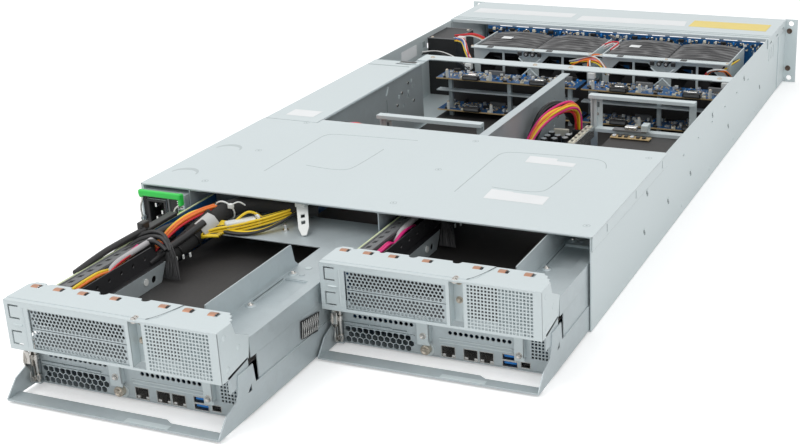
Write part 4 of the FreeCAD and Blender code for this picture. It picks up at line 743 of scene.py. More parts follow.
def makeLatch(side):
    plan = latchPlan
    left = plan["inset"]
    piece = Piece(f"{side}_latch_paddle", trayOrigin(side))
    tip = -plan["reach"]
    # stamped plate seen from the side: rounded thumb lobe above, waist, round foot
    loop = [(tip + 6, 5), (tip + 3, 6.5), (tip + 3.2, 11), (tip + 4.6, 15), (tip + 3.4, 19),
            (tip, 22), (tip - 1.4, 27), (tip, 33), (tip + 3.5, 37.5), (tip + 8, 39),
            (tip + 13, 38.4), (tip + 13, 31), (tip + 11.6, 26), (tip + 11.6, 20), (tip + 13, 15),
            (tip + 13, 5)]
    slots = [roundLoop((tip + 5, tip + 8.4), (9.5, 19), 1.5), discLoop((tip + 5.5, 31), 2.1)]
    piece.sheet([loop] + slots, (left, left + plan["sheet"]), "stainless", "side")
    for low in (6.5, 24.0, 33.5):   # rolled knuckles round the post
        piece.rod((left + 3, -4, low), (left + 3, -4, low + 4.5), 2.5, "stainless", 18)
        piece.block((left + 0.3, -6.3, low), (left + 3, -5.3, low + 4.5), "stainless", 0.2)
    piece.block((left + 0.2, tip + 0.5, 24), (left + 5.4, tip + 1.6, 35), "stainless", 0.4)
    return piece.close(f"{side}_latch", "stainless", [f"{side}_release_latch"])


for side in ("left", "right"):
    makeBracket(side)
    makeSlotCovers(side)
    makeSocketPanel(side)
    makeSockets(side)
    makeThumbScrew(side)
    makeLatch(side)
print("tray rears ready")

# tray insides: riser with its slot, card guide, air duct, cables

risePlan = {"board": (6.0, 7.6), "start": 12.0, "stop": 262.0, "top": 74.0, "foot": 9.9,
            "slot": (8.2, 18.6), "slotStart": 20.0, "slotStop": 150.0, "slotDrop": 9.0,
            "contactPitch": 12.0, "contactSize": (3.2, 7.6)}


def makeRiser(side):
    plan = risePlan
    piece = Piece(f"{side}_riser_board", trayOrigin(side))
    left, right = plan["board"]
    start, stop, top = plan["start"], plan["stop"], plan["top"]
    piece.block((left, start, plan["foot"]), (right, stop, top - 0.8), "board", 0.1)
    piece.block((left - 0.05, start, top - 0.8), (right + 0.05, stop, top), "paleEdge", 0.1)
    slotLeft, slotRight = plan["slot"]
    near, far = plan["slotStart"], plan["slotStop"]
    width, length = plan["contactSize"]
    middle = (slotLeft + slotRight) / 2 - 0.6
    count = int((far - near - length) / plan["contactPitch"])
    mouths = [[(middle - width / 2, along), (middle + width / 2, along + 2.2),
               (middle + width / 2, along + length), (middle - width / 2, along + length - 2.2)]
              for along in (near + 6 + plan["contactPitch"] * step for step in range(count))]
    piece.sheet([oblong((slotLeft, slotRight), (near, far))] + mouths, (top - 3.0, top - 0.6),
                "railGrey", "top")
    piece.block((slotLeft, near, top - plan["slotDrop"]), (slotRight, far, top - 3.0),
                "socketBlack", 0.2)
    piece.block((slotLeft, near, top - 0.6), (slotLeft + 1.1, far, top + 0.2), "railGrey", 0.2)
    piece.block((slotRight + 0.6, near, top - 14), (slotRight + 2.0, far - 6, top - 2.5),
                "socketBlack", 0.3)
    for along in (165.0, 205.0, 240.0):
        piece.block((right, along, 46), (right + 5, along + 22, 60), "chipBlack", 0.4)
        for step in range(5):
            piece.block((right, along + 1 + 4.4 * step, 63),
                        (right + 1.4, along + 3.4 + 4.4 * step, 66), "boardEdge", 0.2)
    return piece.close(f"{side}_tray", "board", [f"{side}_riser_card"])


guidePlan = {"plate": (31.0, 32.0), "start": 14.0, "stop": 132.0, "low": 58.0, "top": 74.0,
             "hole": 1.7, "holeUp": 67.4, "holeStart": 33.0, "holePitch": 16.0, "holeCount": 6}
ductPlan = {"top": 62.4, "sheet": 1.0, "left": 157.0, "rear": 18.0, "window": 195.0, "front": 260.0,
            "deckLeft": 21.0, "wallStop": 144.0, "wallTop": 84.0, "right": 194.0,
            "pocket": ((161.0, 184.5), (75.0, 126.0)), "pocketFloor": 59.6}


def makeCardGuide(side):
    plan, duct = guidePlan, ductPlan
    piece = Piece(f"{side}_card_guide", trayOrigin(side))
    left, right = plan["plate"]
    start, stop = plan["start"], plan["stop"]
    outline = [(start, plan["low"]), (stop + 4, plan["low"]), (stop - 8, plan["top"]),
               (start, plan["top"])]
    holes = [discLoop((plan["holeStart"] + plan["holePitch"] * step, plan["holeUp"]), plan["hole"],
                      14) for step in range(plan["holeCount"])]
    piece.sheet([outline] + holes, (left, right), "dark_sheet", "side")
    piece.block((right, start, plan["low"] - 0.6), (right + 5, stop, plan["low"] + 0.4),
                "dark_sheet")
    lower = [(start, 41.2), (stop - 6, 41.2), (stop + 3, plan["low"] - 0.6),
             (start, plan["low"] - 0.6)]
    piece.sheet([lower, discLoop((stop - 16, 48), 3.2, 18)], (right + 4, right + 5), "sheet",
                "side")
    piece.rod((right + 5.2, stop - 28, 50), (right + 6.2, stop - 28, 50), 3.2, "nylon", 20,
              bevel=0.3)
    piece.block((right + 5, start + 50, 42), (right + 9, start + 68, 43.2), "sheet")

    # duct: shelf with its pocket and dimples, the wall beside the cards, the outer side
    top, sheet = duct["top"], duct["sheet"]
    shelf = [(duct["left"], duct["rear"]), (duct["right"], duct["rear"]),
             (duct["right"], duct["front"]), (duct["deckLeft"], duct["front"]),
             (duct["deckLeft"], duct["window"]), (duct["left"], duct["window"])]
    (pocketLeft, pocketRight), (pocketNear, pocketFar) = duct["pocket"]
    pocket = roundLoop((pocketLeft, pocketRight), (pocketNear, pocketFar), 2.5, 3)
    piece.sheet([shelf, pocket], (top - sheet, top), "sheet", "top")
    for low, high in (((pocketLeft, pocketNear), (pocketLeft + 1, pocketFar)),
                      ((pocketRight - 1, pocketNear), (pocketRight, pocketFar)),
                      ((pocketLeft, pocketFar - 1), (pocketRight, pocketFar)),
                      ((pocketLeft, pocketNear), (pocketRight, pocketNear + 1))):
        piece.block((low[0], low[1], duct["pocketFloor"]), (high[0], high[1], top - 0.5), "sheet",
                    0.2)
    piece.block((pocketLeft, pocketNear, duct["pocketFloor"]),
                (pocketRight, pocketFar, duct["pocketFloor"] + 1), "sheet")
    for along in (68.0, 135.0):
        piece.dome((164.5, along, top), 4.4, 1.3, upward, "sheet", 20)
        piece.screw((164.5, along, top + 1.0), 2.0, upward, "stainless", 1.0)
    # dark rod along the pocket's left rim: painted shade
    piece.rod((pocketLeft + 0.3, pocketNear + 2, top + 0.05),
              (pocketLeft + 0.3, pocketFar - 2, top + 0.05), 0.35, "paintedGapShadow", 8)
    piece.rod((172.5, 136, top), (172.5, 136, top + 0.5), 2.4, "sheet")
    piece.rod((170.5, 150, top), (170.5, 150, top + 0.4), 2.9, "shell")
    wallNear, wallStop = duct["rear"], duct["wallStop"]
    wall = [(wallNear, top - 0.5), (wallStop + 12, top - 0.5), (wallStop + 6, top + 5),
            (wallStop + 2, duct["wallTop"] - 0.4), (wallStop - 2, duct["wallTop"]),
            (wallNear, duct["wallTop"])]
    piece.sheet([wall], (duct["left"], duct["left"] + 1), "sheet", "side")
    outer = [(wallNear, 45.6), (duct["front"], 45.6), (duct["front"], top - sheet),
             (wallNear, top - sheet)]
    piece.sheet([outer], (duct["right"] - 1, duct["right"]), "sheet", "side")
    for along in (208.0, 246.0):   # studs that locate the far shelf
        piece.rod((107, along + 13, top), (107, along + 13, top + 6), 1.7, "stainless", 18,
                  bevel=0.3)
        piece.rod((107, along + 13, top), (107, along + 13, top + 1.4), 2.8, "stainless", 6)
    return piece.close(f"{side}_tray", "sheet", [f"{side}_card_supports"])


def loom(piece, path, strands, spread, radius=1.1, waver=0.6):
    # strands run beside the path at fixed places in the bundle, with a little waver
    for number, finishName in enumerate(strands):
        angle = fullTurn * number / max(1, len(strands)) + 0.4
        reach = spread * (0.45 + 0.55 * (number % 3) / 2)
        shift = Vector((reach * math.cos(angle), 0.35 * reach * math.sin(angle),
                        reach * math.sin(angle)))
        points = [Vector(point) + shift + Vector([chance.uniform(-waver, waver)
                                                  for axis in range(3)]) for point in path]
        piece.wire([tuple(point) for point in points], radius, finishName, 5)


def makeCables(side):
    piece = Piece(f"{side}_cable_loom", trayOrigin(side))

    # wires in the channel between the riser and the guide
    if side == "left":
        loom(piece, [(25, 8, 68), (25, 24, 71.5), (23, 48, 72), (22, 72, 71), (21, 84, 66)],
             ["orangeWire", "yellowWire", "redWire", "yellowWire"], 2.4, 1.3)
        loom(piece, [(22, 78, 68), (22, 90, 71.5), (21.5, 104, 72), (20, 124, 73)],
             ["redWire", "magentaWire", "orangeWire"], 2.0, 1.2)
    else:
        loom(piece, [(25, 10, 68), (25.5, 26, 71.5), (25, 50, 72), (24.5, 60, 71.5), (24, 68, 66)],
             ["magentaWire", "magentaWire", "redWire"], 1.8, 1.3)
        loom(piece, [(24, 66, 67), (24, 78, 71.5), (23.5, 98, 72), (23, 112, 68)],
             ["magentaWire", "magentaWire"], 1.2, 1.3)
    piece.wire([(24.5, 12, 62), (24.5, 60, 64), (23.5, 110, 64), (22, 130, 60)], 3.6, "blackWire")
    for along in (58, 100):
        piece.wire([(21, along, 65), (24, along + 1, 71.8), (28, along + 2, 67)], 2.0, "blackWire")
    piece.wire([(21, 74, 66), (21, 86, 71.8), (21, 106, 72.6), (21, 126, 73), (18, 146, 72)], 2.6,
               "clothGrey")

    # braided trunk: along the guide, over the far shelf, round under the cover
    trunk = [(24, 116, 52), (25, 140, 54), (28, 163, 55.5), (33, 183, 61), (40, 197, 68.5),
             (42, 214, 73), (46, 232, 74.5), (58, 246, 74.5), (82, 250, 74.5), (106, 247, 74),
             (122, 256, 73)]
    piece.wire(trunk, 8.4, "cable_sleeve", 10)
    piece.wire([(20, 112, 50), (22, 140, 53), (26, 168, 60), (34, 190, 70), (38, 206, 77)], 4.6,
               "cable_sleeve")
    piece.wire([(30, 120, 60), (31, 146, 63), (34, 170, 66), (42, 190, 74)], 3.4, "blackWire")
    wrap = [(36.4, 189.6, 64.6), (38.2, 193, 66.5), (39.8, 197, 68.4), (41, 203, 70.2)]
    piece.wire(wrap, 9.7, "tapeGrey", 6)
    for centre, radius, lean in (((28, 160, 55.4), 9.3, 0.25), ((33, 180, 60), 9.3, 0.4)):
        ring = hoop(centre, (radius, 0, 0), (0, -lean * radius, radius), 16)
        piece.wire(ring, 0.7, "blackWire", 3, True)

    # black bar, its catch and sleeves that cover the far half of the riser's edge
    if side == "left":
        piece.block((0.5, 152, 74.2), (9, 197, 77.6), "blackWire", 0.8, 2)
        piece.block((0.5, 148, 74.2), (7, 158, 84), "chipBlack", 1.0, 2)
        piece.wire([(4, 58, 73), (4, 90, 76.6), (5, 120, 77.4), (6, 150, 77.4)], 2.9, "blackWire")
        piece.wire([(12, 132, 70), (13, 160, 72), (14, 185, 70), (16, 204, 67)], 3.8, "blackWire")
        # braided lead seen in an opening low in the outer wall
        # the black plate in the opening is painted shade of the space behind it
        opening = [(91, 43), (90, 27), (116, 23), (121, 39)]
        piece.sheet([opening], (194.9, 195.15), "socketBlack", "side")
        for step in range(9):
            for lean in (-4, 5):
                along = 93.5 + 3 * step
                piece.rod((195.2, along, 41.5 - 0.35 * step),
                          (195.2, along + lean * 0.5, 27 - 0.3 * step), 0.22, "brightTin", 6)

    # white tie with its head and tail, orange and yellow wires arching beside the trunk
    piece.wire(hoop((43.5, 222, 74.2), (9.8, 0, 0), (0, -3, 9.8), 18), 0.85, "nylon", 3, True)
    piece.block((51.5, 214.5, 79.5), (56, 219, 83.6), "nylon", 0.6, 2)
    piece.wire([(54, 217, 82), (57, 220, 84.5), (61, 223, 84), (63, 226, 80)], 0.7, "nylon")
    arch = [(18, 146, 62), (19, 160, 68), (22, 178, 74.5), (29, 192, 79), (35, 204, 80.5),
            (37, 216, 79)]
    loom(piece, arch, ["orangeWire", "orangeWire", "yellowWire", "yellowWire", "redWire"], 3.0,
         1.25)

    # two jacketed leads that loop over the trunk and end in a brush of strands
    leads = ([(3, 112, 70), (4, 134, 74.5), (11, 150, 76.5), (22, 152, 76), (32, 147, 73),
              (38, 142, 68)], [(8, 104, 70), (9, 130, 73.5), (15, 144, 75), (26, 147, 74),
                               (35, 142, 71), (40, 138, 66)],
             [(10, 92, 70), (13, 124, 72.5), (19, 137, 73.5), (29, 139, 72.4), (38, 136, 67)])
    for lead in leads:
        piece.wire(lead, 2.1, "blackWire", 7)
    for step in range(46):
        spreadAcross, spreadUp = chance.uniform(-6, 7), chance.uniform(-2, 3)
        piece.wire([(37 + spreadAcross * 0.3, 143, 71),
                    (41 + spreadAcross * 0.6, 137, 65 + spreadUp),
                    (45 + spreadAcross, 131 + spreadUp, 53 + spreadUp),
                    (46 + spreadAcross * 1.3, 128, 44.5)], 0.55, "blackWire", 4)
    for across, along in ((42, 118), (45, 124), (48, 130)):
        piece.block((across, along + 24, 55), (across + 1.2, along + 26, 59), "nylon", 0.2)

    # yellow and black supply wires, folded back and held in a white tag
    for number in range(12):
        rise, reach = 2.4 * (number % 3) + chance.uniform(-0.4, 0.4), 3.0 * (number // 3)
        finishName = "yellowWire" if number % 5 != 3 else "blackWire"
        piece.wire([(108, 250, 76 - rise), (92, 238 - reach, 72 - rise),
                    (70, 215 - reach, 69 - rise), (52, 203 - reach, 67.5 - rise),
                    (43, 196 - reach, 66 - rise), (41, 193 - reach, 63.8 - rise / 2),
                    (45, 192 - reach, 63.4), (58, 196 - reach, 63.6)], 1.15, finishName, 6)
    for number in range(6):
        finishName = "blackWire" if number < 3 else "yellowWire"
        piece.wire([(58, 196 + number, 64.5), (70, 194 + 1.4 * number, 64),
                    (86, 200 + number, 64.4), (98, 214 + number, 67), (106, 232 + number, 72),
                    (112, 250, 75)], 1.25, finishName, 6)
    for number in range(5):   # slack loops at the near end
        piece.wire([(50, 200, 64 + number), (41 - 1.2 * number, 190 + number, 65 + 1.4 * number),
                    (40, 195 + 2 * number, 69 + 0.6 * number),
                    (54, 204 + number, 67 + 0.5 * number)], 1.25, "yellowWire", 6)
    piece.wire([(60, 207, 68), (66, 217, 76), (74, 222, 77), (80, 226, 70)], 1.2, "yellowWire")
    tag = Matrix.Translation((66, 211.5, 69.4)) @ Matrix.Rotation(0.82, 4, "Z")
    piece.block((-14, -4.6, -3.6), (14, 4.6, 2.2), "nylon", 1.6, 3, tag)
    tieTag = Matrix.Translation((77, 223, 70)) @ Matrix.Rotation(0.82, 4, "Z")
    piece.block((-1.2, -6.2, -4.8), (1.2, 6.2, 4.2), "paperLabel", 0.8, 2, tieTag)

    # hanging strap with two square holes, its tip resting on the shelf
    tip, top = Vector((131, 213, 63.0)), Vector((113, 243, 81.5))
    along = (top - tip).normalized()
    outward = Vector((0.352, -0.864, 0.359))
    across = along.cross(outward).normalized()
    strap = Matrix((across, along, across.cross(along))).transposed().to_4x4()
    strap.translation = (tip + top) / 2
    half = (top - tip).length / 2
    mesh = sheetMesh([[(-2.2, -half), (2.2, -half), (4.8, -half + 9), (5.2, half), (-5.2, half),
                       (-4.8, -half + 9)], oblong((-1.9, 1.9), (-6.5, -2.2)),
                      oblong((-1.9, 1.9), (1.2, 5.6))], 1.2, everyFinish["nylon"])
    piece.take(mesh, "nylon", strap)
    piece.block((108, 238, 79), (118, 252, 83), "nylon", 0.8, 2)
    return piece.close(f"{side}_tray", "cable_sleeve", [f"{side}_cable_trunk"])


frontPlan = {"board": ((9.0, 50.0), (428.0, 512.0), 30.0), "shield": ((51.0, 60.5), (440.0, 512.0))}


def makeFrontParts(side):
    piece = Piece(f"{side}_front_parts", trayOrigin(side))
    (left, right), (near, far), height = frontPlan["board"]
    piece.block((left, near, height), (right, far, height + 1.6), "board", 0.1)
    for across in (left + 2, right - 5):
        for along in (near + 3, far - 6):
            piece.rod((across, along, 9.9), (across, along, height), 1.6, "stainless", 6)
    top = height + 1.6
    for across, along in ((14, 470), (14, 482), (25, 474), (25, 486), (14, 496), (36, 480),
                          (36, 492)):
        piece.rod((across, along, top), (across, along, top + 9), 4.1, "chipBlack", 20, bevel=0.4)
        piece.rod((across, along, top + 9), (across, along, top + 9.4), 3.5, "canSilver", 20)
    for step in range(7):
        along = 432 + 9 * step
        piece.block((38, along, top), (46, along + 6.5, top + 5),
                    "railGrey" if step % 2 else "chipBlack", 0.4)
    piece.block((12, 508, top), (30, 512, top + 9), "cream", 0.4)
    piece.block((18, 432, top), (34, 444, top + 8), "cream", 0.5)

    # shielded connector with its lid tabs, and the supply plug beside the frame
    (left, right), (near, far) = frontPlan["shield"]
    piece.block((left, near, 34), (right, far, 47), "brightTin", 0.6, 2)
    for step in range(6):
        along = near + 4 + 11.6 * step
        piece.block((left + 1, along, 47), (right - 1, along + 7.5, 48.2), "cream", 0.4)
        piece.block((left + 3.4, along + 2, 48.2), (right - 3.4, along + 5.5, 48.5), "socketBlack",
                    0.1)
    piece.block((84, 506, 45.5), (124, 516, 47), "railGrey", 0.2)
    piece.block((98, 507, 47), (112, 515, 51), "brightTin", 0.5)
    piece.block((56, 518, 41), (58, 520.4, 82), "shell", 0.3)
    piece.block((56, 519.2, 41), (68, 520.4, 81), "shell", 0.3)
    # dark patch on the plate, in the painted-shadow finish
    piece.block((59.5, 518.6, 68), (64.5, 519.3, 74), "paintedGapShadow", 0.2)
    piece.rod((62, 518.4, 60), (62, 519.4, 60), 2.0, "stainless", 16)
    piece.block((118, 505, 47), (126, 517, 55), "shell", 0.5)
    piece.block((86, 490, 42), (132, 500, 43.2), "boardEdge", 0.2)
    for step in range(6):
        piece.block((88 + 7 * step, 491.5, 43.2), (92 + 7 * step, 497, 45),
                    "chipBlack" if step % 3 else "canSilver", 0.3)

    # the wires that climb beside the partition and turn over to their plug
    path = [(9, 424, 40), (11, 438, 52), (20, 450, 67), (34, 464, 77), (44, 482, 78.5),
            (47, 494, 70), (46, 500, 56), (44, 503, 42)]
    loom(piece, path, ["yellowWire", "orangeWire", "magentaWire", "yellowWire", "orangeWire",
                       "redWire", "yellowWire", "magentaWire"], 5.2, 1.35, 1.2)
    loom(piece, [(8, 440, 44), (9, 456, 60), (15, 470, 76), (28, 486, 79), (40, 500, 68),
                 (42, 506, 50)], ["blackWire"] * 6, 3.4, 1.7, 1.0)
    piece.wire([(8, 446, 40), (11, 462, 56), (18, 478, 74), (32, 494, 74), (38, 506, 52)], 4.2,
               "cable_sleeve")
    piece.block((38, 498, top), (50, 509, 45), "blackWire", 0.6)
    piece.block((4, 428, 38), (10, 436, 46), "nylon", 0.6)
    return piece.close(f"{side}_tray", "board")


for side in ("left", "right"):
    makeRiser(side)
    makeCardGuide(side)
    makeCables(side)
    makeFrontParts(side)
print("tray insides ready")

# chassis: rear cover with its stampings and bare labels, edges, screws

shellLow = span("chassis_base")[0]
chassisCorner = (shellLow.x, shellLow.y, 0)
rearCoverPlan = {"depth": 235.0, "jog": 223.5, "jogAcross": 65.0, "flange": 13.0, "top": 87.3,
                 "slotWidth": 2.0, "slotHeight": 8.0, "slotDrop": 2.4, "slots": (0.17, 0.54, 0.92),
                 "moons": ((21.5, 37.5), (21.5, 115.5)), "lances": (0.07, 0.33, 0.62, 0.93)}
stampedLines = (   # across and depth from the chassis corner
    ((94, 66), (93.6, 170), (94, 190), (112, 194), (196, 198)),
    ((124.5, 94), (146, 90), (168, 91), (174, 104), (175, 162)),
    ((294, 68), (292, 168), (293, 188), (310, 193), (384, 197), (402, 190), (406, 172)),
    ((322, 90), (346, 87.5), (368, 89), (375, 102), (376, 158)),
)
rearLabels = (
    ((323.5, 186), (353, 185), (354, 178), (374.5, 176.5), (375, 166), (325.5, 166.5)),
    ((324, 85), (346, 83.4), (346, 82), (382, 80.5), (383, 59.5), (325.5, 60.5)),
)
pressMarks = ((54.9, 23.5), (54.2, 121), (53.5, 220), (253.4, 24), (253.8, 121), (253.5, 214),
              (436, 24), (436, 214))


def makeRearCover():
    plan = rearCoverPlan
    piece = Piece("rear_cover_panel", chassisCorner)
    left, right = (corner.x for corner in span("rear_cover", chassisCorner))
    jog, stop, jogX, top = plan["jog"], plan["depth"], plan["jogAcross"], plan["top"]
    outline = [(left, 0), (right, 0), (right, stop), (jogX, stop), (jogX, jog), (left, jog)]
    # darker crescents: painted shade in the stamped half-moons
    for x, y in plan["moons"]:
        turns = [2 * quarter * step / 14 for step in range(15)]
        outer = [(x + 14 * math.cos(turn), y + 15 * math.sin(turn)) for turn in turns]
        inner = [(x + 12.8 * math.cos(turn), y + 9.5 * math.sin(turn)) for turn in reversed(turns)]
        piece.sheet([outer + inner], (top, top + 0.12), "shellShade", "top")
    piece.sheet([outline], (top - 1.0, top), "shell", "top")
    low = top - plan["flange"]
    slotTop = top - plan["slotDrop"]
    for wallX, wallStop in ((left, jog), (right - 1.0, stop)):
        loops = [oblong((0, wallStop), (low, top - 0.9))]
        for share in plan["slots"]:
            middle = wallStop * share
            loops.append(roundLoop((middle - plan["slotWidth"] / 2, middle + plan["slotWidth"] / 2),
                                   (slotTop - plan["slotHeight"], slotTop), 0.9, 3))
        piece.sheet(loops, (wallX, wallX + 1.0), "shell", "side")
        # dark plates inside the slots: painted shade of the openings
        for loop in loops[1:]:
            piece.sheet([loop], (wallX + 0.2, wallX + 0.3), "paintedGapShadow", "side")
        # dark rod under the flange: painted shadow of the gap
        piece.rod((wallX + 0.5, 0, low - 0.25), (wallX + 0.5, wallStop, low - 0.25), 0.3,
                  "paintedGapShadow", 8)
    for wallX in (left + 0.5, right - 0.5):   # folded edges
        piece.rod((wallX, 0, top - 0.5), (wallX, jog, top - 0.5), 0.5, "shell", 12)
    # dark rod along the front edge: painted shade
    piece.rod((left + 1, 0.5, top - 1.3), (right - 1, 0.5, top - 1.3), 0.5, "paintedShadeLine", 10)
    # stamped lines drawn as dark ridges: painted shade in their creases
    for line in stampedLines:
        piece.wire([(*point, top - 0.22) for point in line], 0.42, "paintedShadeLine", 8, order=3)
    # round press marks drawn as dark rings and dots: painted shade
    for across, depth in pressMarks:
        ring = hoop((across, depth, top - 0.2), (3.1, 0, 0), (0, 3.1, 0), 14)
        piece.wire(ring, 0.3, "paintedShadeLine", 2, True)
        piece.rod((across, depth, top - 0.3), (across, depth, top + 0.1), 0.9, "paintedShadeLine", 10)
    for label in rearLabels:
        piece.sheet([label[::-1]], (top, top + 0.15), "paperLabel", "top")
    for share in plan["lances"]:   # lances where the cover hooks the walls, drawn as dark blocks: painted shade
        depth = plan["depth"] * share
        piece.block((-1.3, depth, low - 0.1), (-0.4, depth + 6, low + 1.6), "paintedShadeLine")
    return piece.close("chassis", "shell", ["rear_cover"])


edgePlan = {"wallTop": 86.5, "lances": ((428, 70), (510, 33.4), (334, 33), (245, 32.4), (168, 67.6),
                                        (160, 31), (687, 33.8), (590, 70)), "screwX": 454.6,
            "screwUp": (71.6, 19.3), "rivets": (300, 420, 540, 660), "rivetUp": 10,
            "wallNuts": ((20, 60), (438, 46), (452, 58), (470, 66), (484, 40)),
            "wallTabs": ((432, 79.6), (443.6, 55.3), (470, 54.7), (480, 66.3), (386.5, 80)),
            "wallHook": ((416, 75), (413.5, 71), (412, 67), (409, 65.6)),
            "partitionNuts": ((14, 62), (470, 40), (456, 62)), "barScrews": (204, 250)}
lanceMarks = (   # near, far, low, high and finish of each mark in a lance
    (-2.6, -0.4, 0.2, 3.4, "paintedGapShadow"), (0.2, 2.4, -2.6, 0.4, "paintedGapShadow"),
    (-2.8, 2.6, 3.4, 4.2, "shell"), (-0.6, 0.4, -2.4, 3.2, "paintedShadeLine"),
)
frontLabels = (
    (((172, 796), (172, 766), (326, 771), (322, 800)), "paperLabel"),
    (((12, 806), (12, 778), (160, 781), (160, 806)), "paperLabel"),
    (((331, 808), (331, 772), (437, 769), (437, 808)), "yellowLabel"),
)


def makeChassisTrim():
    piece = Piece("chassis_trim", chassisCorner)
    top = edgePlan["wallTop"]
    right, front = span("chassis_base", chassisCorner)[1][:2]
    for wallX in (0.6, right - 0.6):
        piece.rod((wallX, 237, top - 0.2), (wallX, 724, top - 0.2), 0.6, "shell", 12)
    for depth, up in edgePlan["lances"]:   # small hooked marks pressed in both walls, outside; their dark strips are painted shade
        for wallX, way in ((right, 1), (0, -1)):
            for near, far, low, high, finishName in lanceMarks:
                piece.block((min(wallX, wallX + 0.35 * way), depth + near, up + low),
                            (max(wallX, wallX + 0.35 * way), depth + far, up + high), finishName,
                            0.1)
    for depth in edgePlan["rivets"]:   # low on both walls
        for wallX, way in ((0, -1), (right, 1)):
            piece.dome((wallX, depth, edgePlan["rivetUp"]), 2.4, 0.9, (way, 0, 0), "shell", 14)
    for up in edgePlan["screwUp"]:
        for across in (edgePlan["screwX"], right - edgePlan["screwX"]):
            piece.screw((across, front - 2.5, up), 3.0, rearward, "bronzeScrew", 1.8)
    # labels on the tunnel cover and inside the left wall, left bare
    coverTop = span("psu_tunnel_cover")[1].z
    label = [(16, 262), (16, 240), (50, 240), (50, 262)]
    piece.sheet([label[::-1]], (coverTop, coverTop + 0.15), "paperLabel", "top")
    wallX = 1.2
    piece.block((wallX - 0.02, 560, 64), (wallX + 0.15, 607, 79), "paperLabel", 0.02)
    for step in range(3):   # open notches at the front of the left wall, drawn as darker patches: painted shade
        y = 626 + 24 * step
        piece.block((wallX - 0.02, y, 70), (wallX + 0.3, y + 8, 78), "paintedShadeLine", 0.1)
    # dark lines across the tunnel cover: painted shade
    for across, depth in ((30, 466), (30, 490)):
        piece.block((across - 28, depth, coverTop), (across + 28, depth + 1, coverTop + 0.3),
                    "paintedShadeLine", 0.1)
    piece.block((36, 484, coverTop - 0.2), (58, 490, coverTop + 0.25), "socketBlack", 0.1)
    # divider details: weld nuts, a hook slot and screws on the crossbar
    wallRight = span("psu_tunnel_wall", chassisCorner)[0].x + 1.0
    for depth, up in edgePlan["wallNuts"]:
        piece.rod((wallRight, depth, up), (wallRight + 1.0, depth, up), 2.0, "stainless", 14,
                  bevel=0.3)
    for depth, up in edgePlan["wallTabs"]:
        piece.block((wallRight - 0.2, depth - 1.6, up - 2.2),
                    (wallRight + 0.9, depth + 1.6, up + 2.2), "shell", 0.4)
    piece.wire([(wallRight + 0.2, depth, up) for depth, up in edgePlan["wallHook"]], 0.9, "shell",
               5)
    partitionRight = span("centre_partition", chassisCorner)[0].x + 1
    for depth, up in edgePlan["partitionNuts"]:
        piece.rod((partitionRight + 1.2, depth, up), (partitionRight + 2.6, depth, up), 1.8,
                  "stainless", 14, bevel=0.3)
    barLow, barHigh = span("mid_crossbar", chassisCorner)
    for x in (barLow.x + 14, *edgePlan["barScrews"], barHigh.x - 14):
        piece.screw((x, (barLow.y + barHigh.y) / 2 + 3, barHigh.z - 0.1), 2.6, upward, "screw", 1.0)
    # dark lines on the crossbar: painted shade
    for x in (barLow.x + 40, barHigh.x - 40):
        piece.rod((x - 20, barLow.y + 6, barHigh.z), (x + 20, barLow.y + 6, barHigh.z), 0.5,
                  "paintedShadeLine", 8)
    return piece.close("chassis", "shell")


def makeFrontCoverTrim():
    piece = Piece("front_cover_trim", chassisCorner)
    low, high = span("front_cover", chassisCorner)
    top = high.z
    for corners, finishName in frontLabels:
        piece.sheet([corners], (top, top + 0.15), finishName, "top")
    # dark lines across the front cover: painted shade
    piece.rod((low.x + 1, low.y + 9, top), (high.x - 1, low.y + 9, top), 0.5, "paintedShadeLine", 8)
    piece.rod((low.x + 1, low.y + 17, top), (high.x - 1, low.y + 17, top), 0.4, "paintedShadeLine", 8)
    return piece.close("chassis", "shell")


# boards, fans and leads in the open bay

def makeScatter():
    tree = ShapeTree("boardParts", Density="Float", Seed="Int", Width="Float", Length="Float",
                     Height="Float", Sides="Int", Quarter="Float", Finish="Material")
    spots = tree.add("GeometryNodeDistributePointsOnFaces", {"distribute_method": "RANDOM"},
                     {"Mesh": tree.ask("Geometry"), "Density": tree.ask("Density"),
                      "Seed": tree.ask("Seed")})
    body = tree.add("GeometryNodeMeshCylinder", {"fill_type": "NGON"},
                    {"Vertices": tree.ask("Sides"), "Radius": math.sqrt(0.5), "Depth": 1.0})
    size = tree.add("ShaderNodeCombineXYZ", {},
                    (tree.ask("Width"), tree.ask("Length"), tree.ask("Height")))
    spin = tree.add("ShaderNodeCombineXYZ", {}, {"Z": tree.ask("Quarter")})
    square = tree.add("GeometryNodeTransform", {}, {"Geometry": body, "Rotation": spin})
    lift = tree.add("ShaderNodeCombineXYZ", {}, {"Z": tree.ask("Height") * 0.5})
    part = tree.add("GeometryNodeTransform", {},
                    {"Geometry": square, "Scale": size, "Translation": lift})
    turns = tree.add("FunctionNodeRandomValue", {"data_type": "INT"},
                     {"Min": 0, "Max": 3, "Seed": tree.ask("Seed")}, output=2)
    angle = tree.add("ShaderNodeCombineXYZ", {}, {"Z": turns * quarter})
    placed = tree.add("GeometryNodeInstanceOnPoints", {},
                      {"Points": spots, "Instance": part, "Rotation": angle})
    loose = tree.add("GeometryNodeRealizeInstances", {}, (placed,))
    tree.result(tree.add("GeometryNodeSetMaterial", {},
                         {"Geometry": loose, "Material": tree.ask("Finish")}))
    return tree


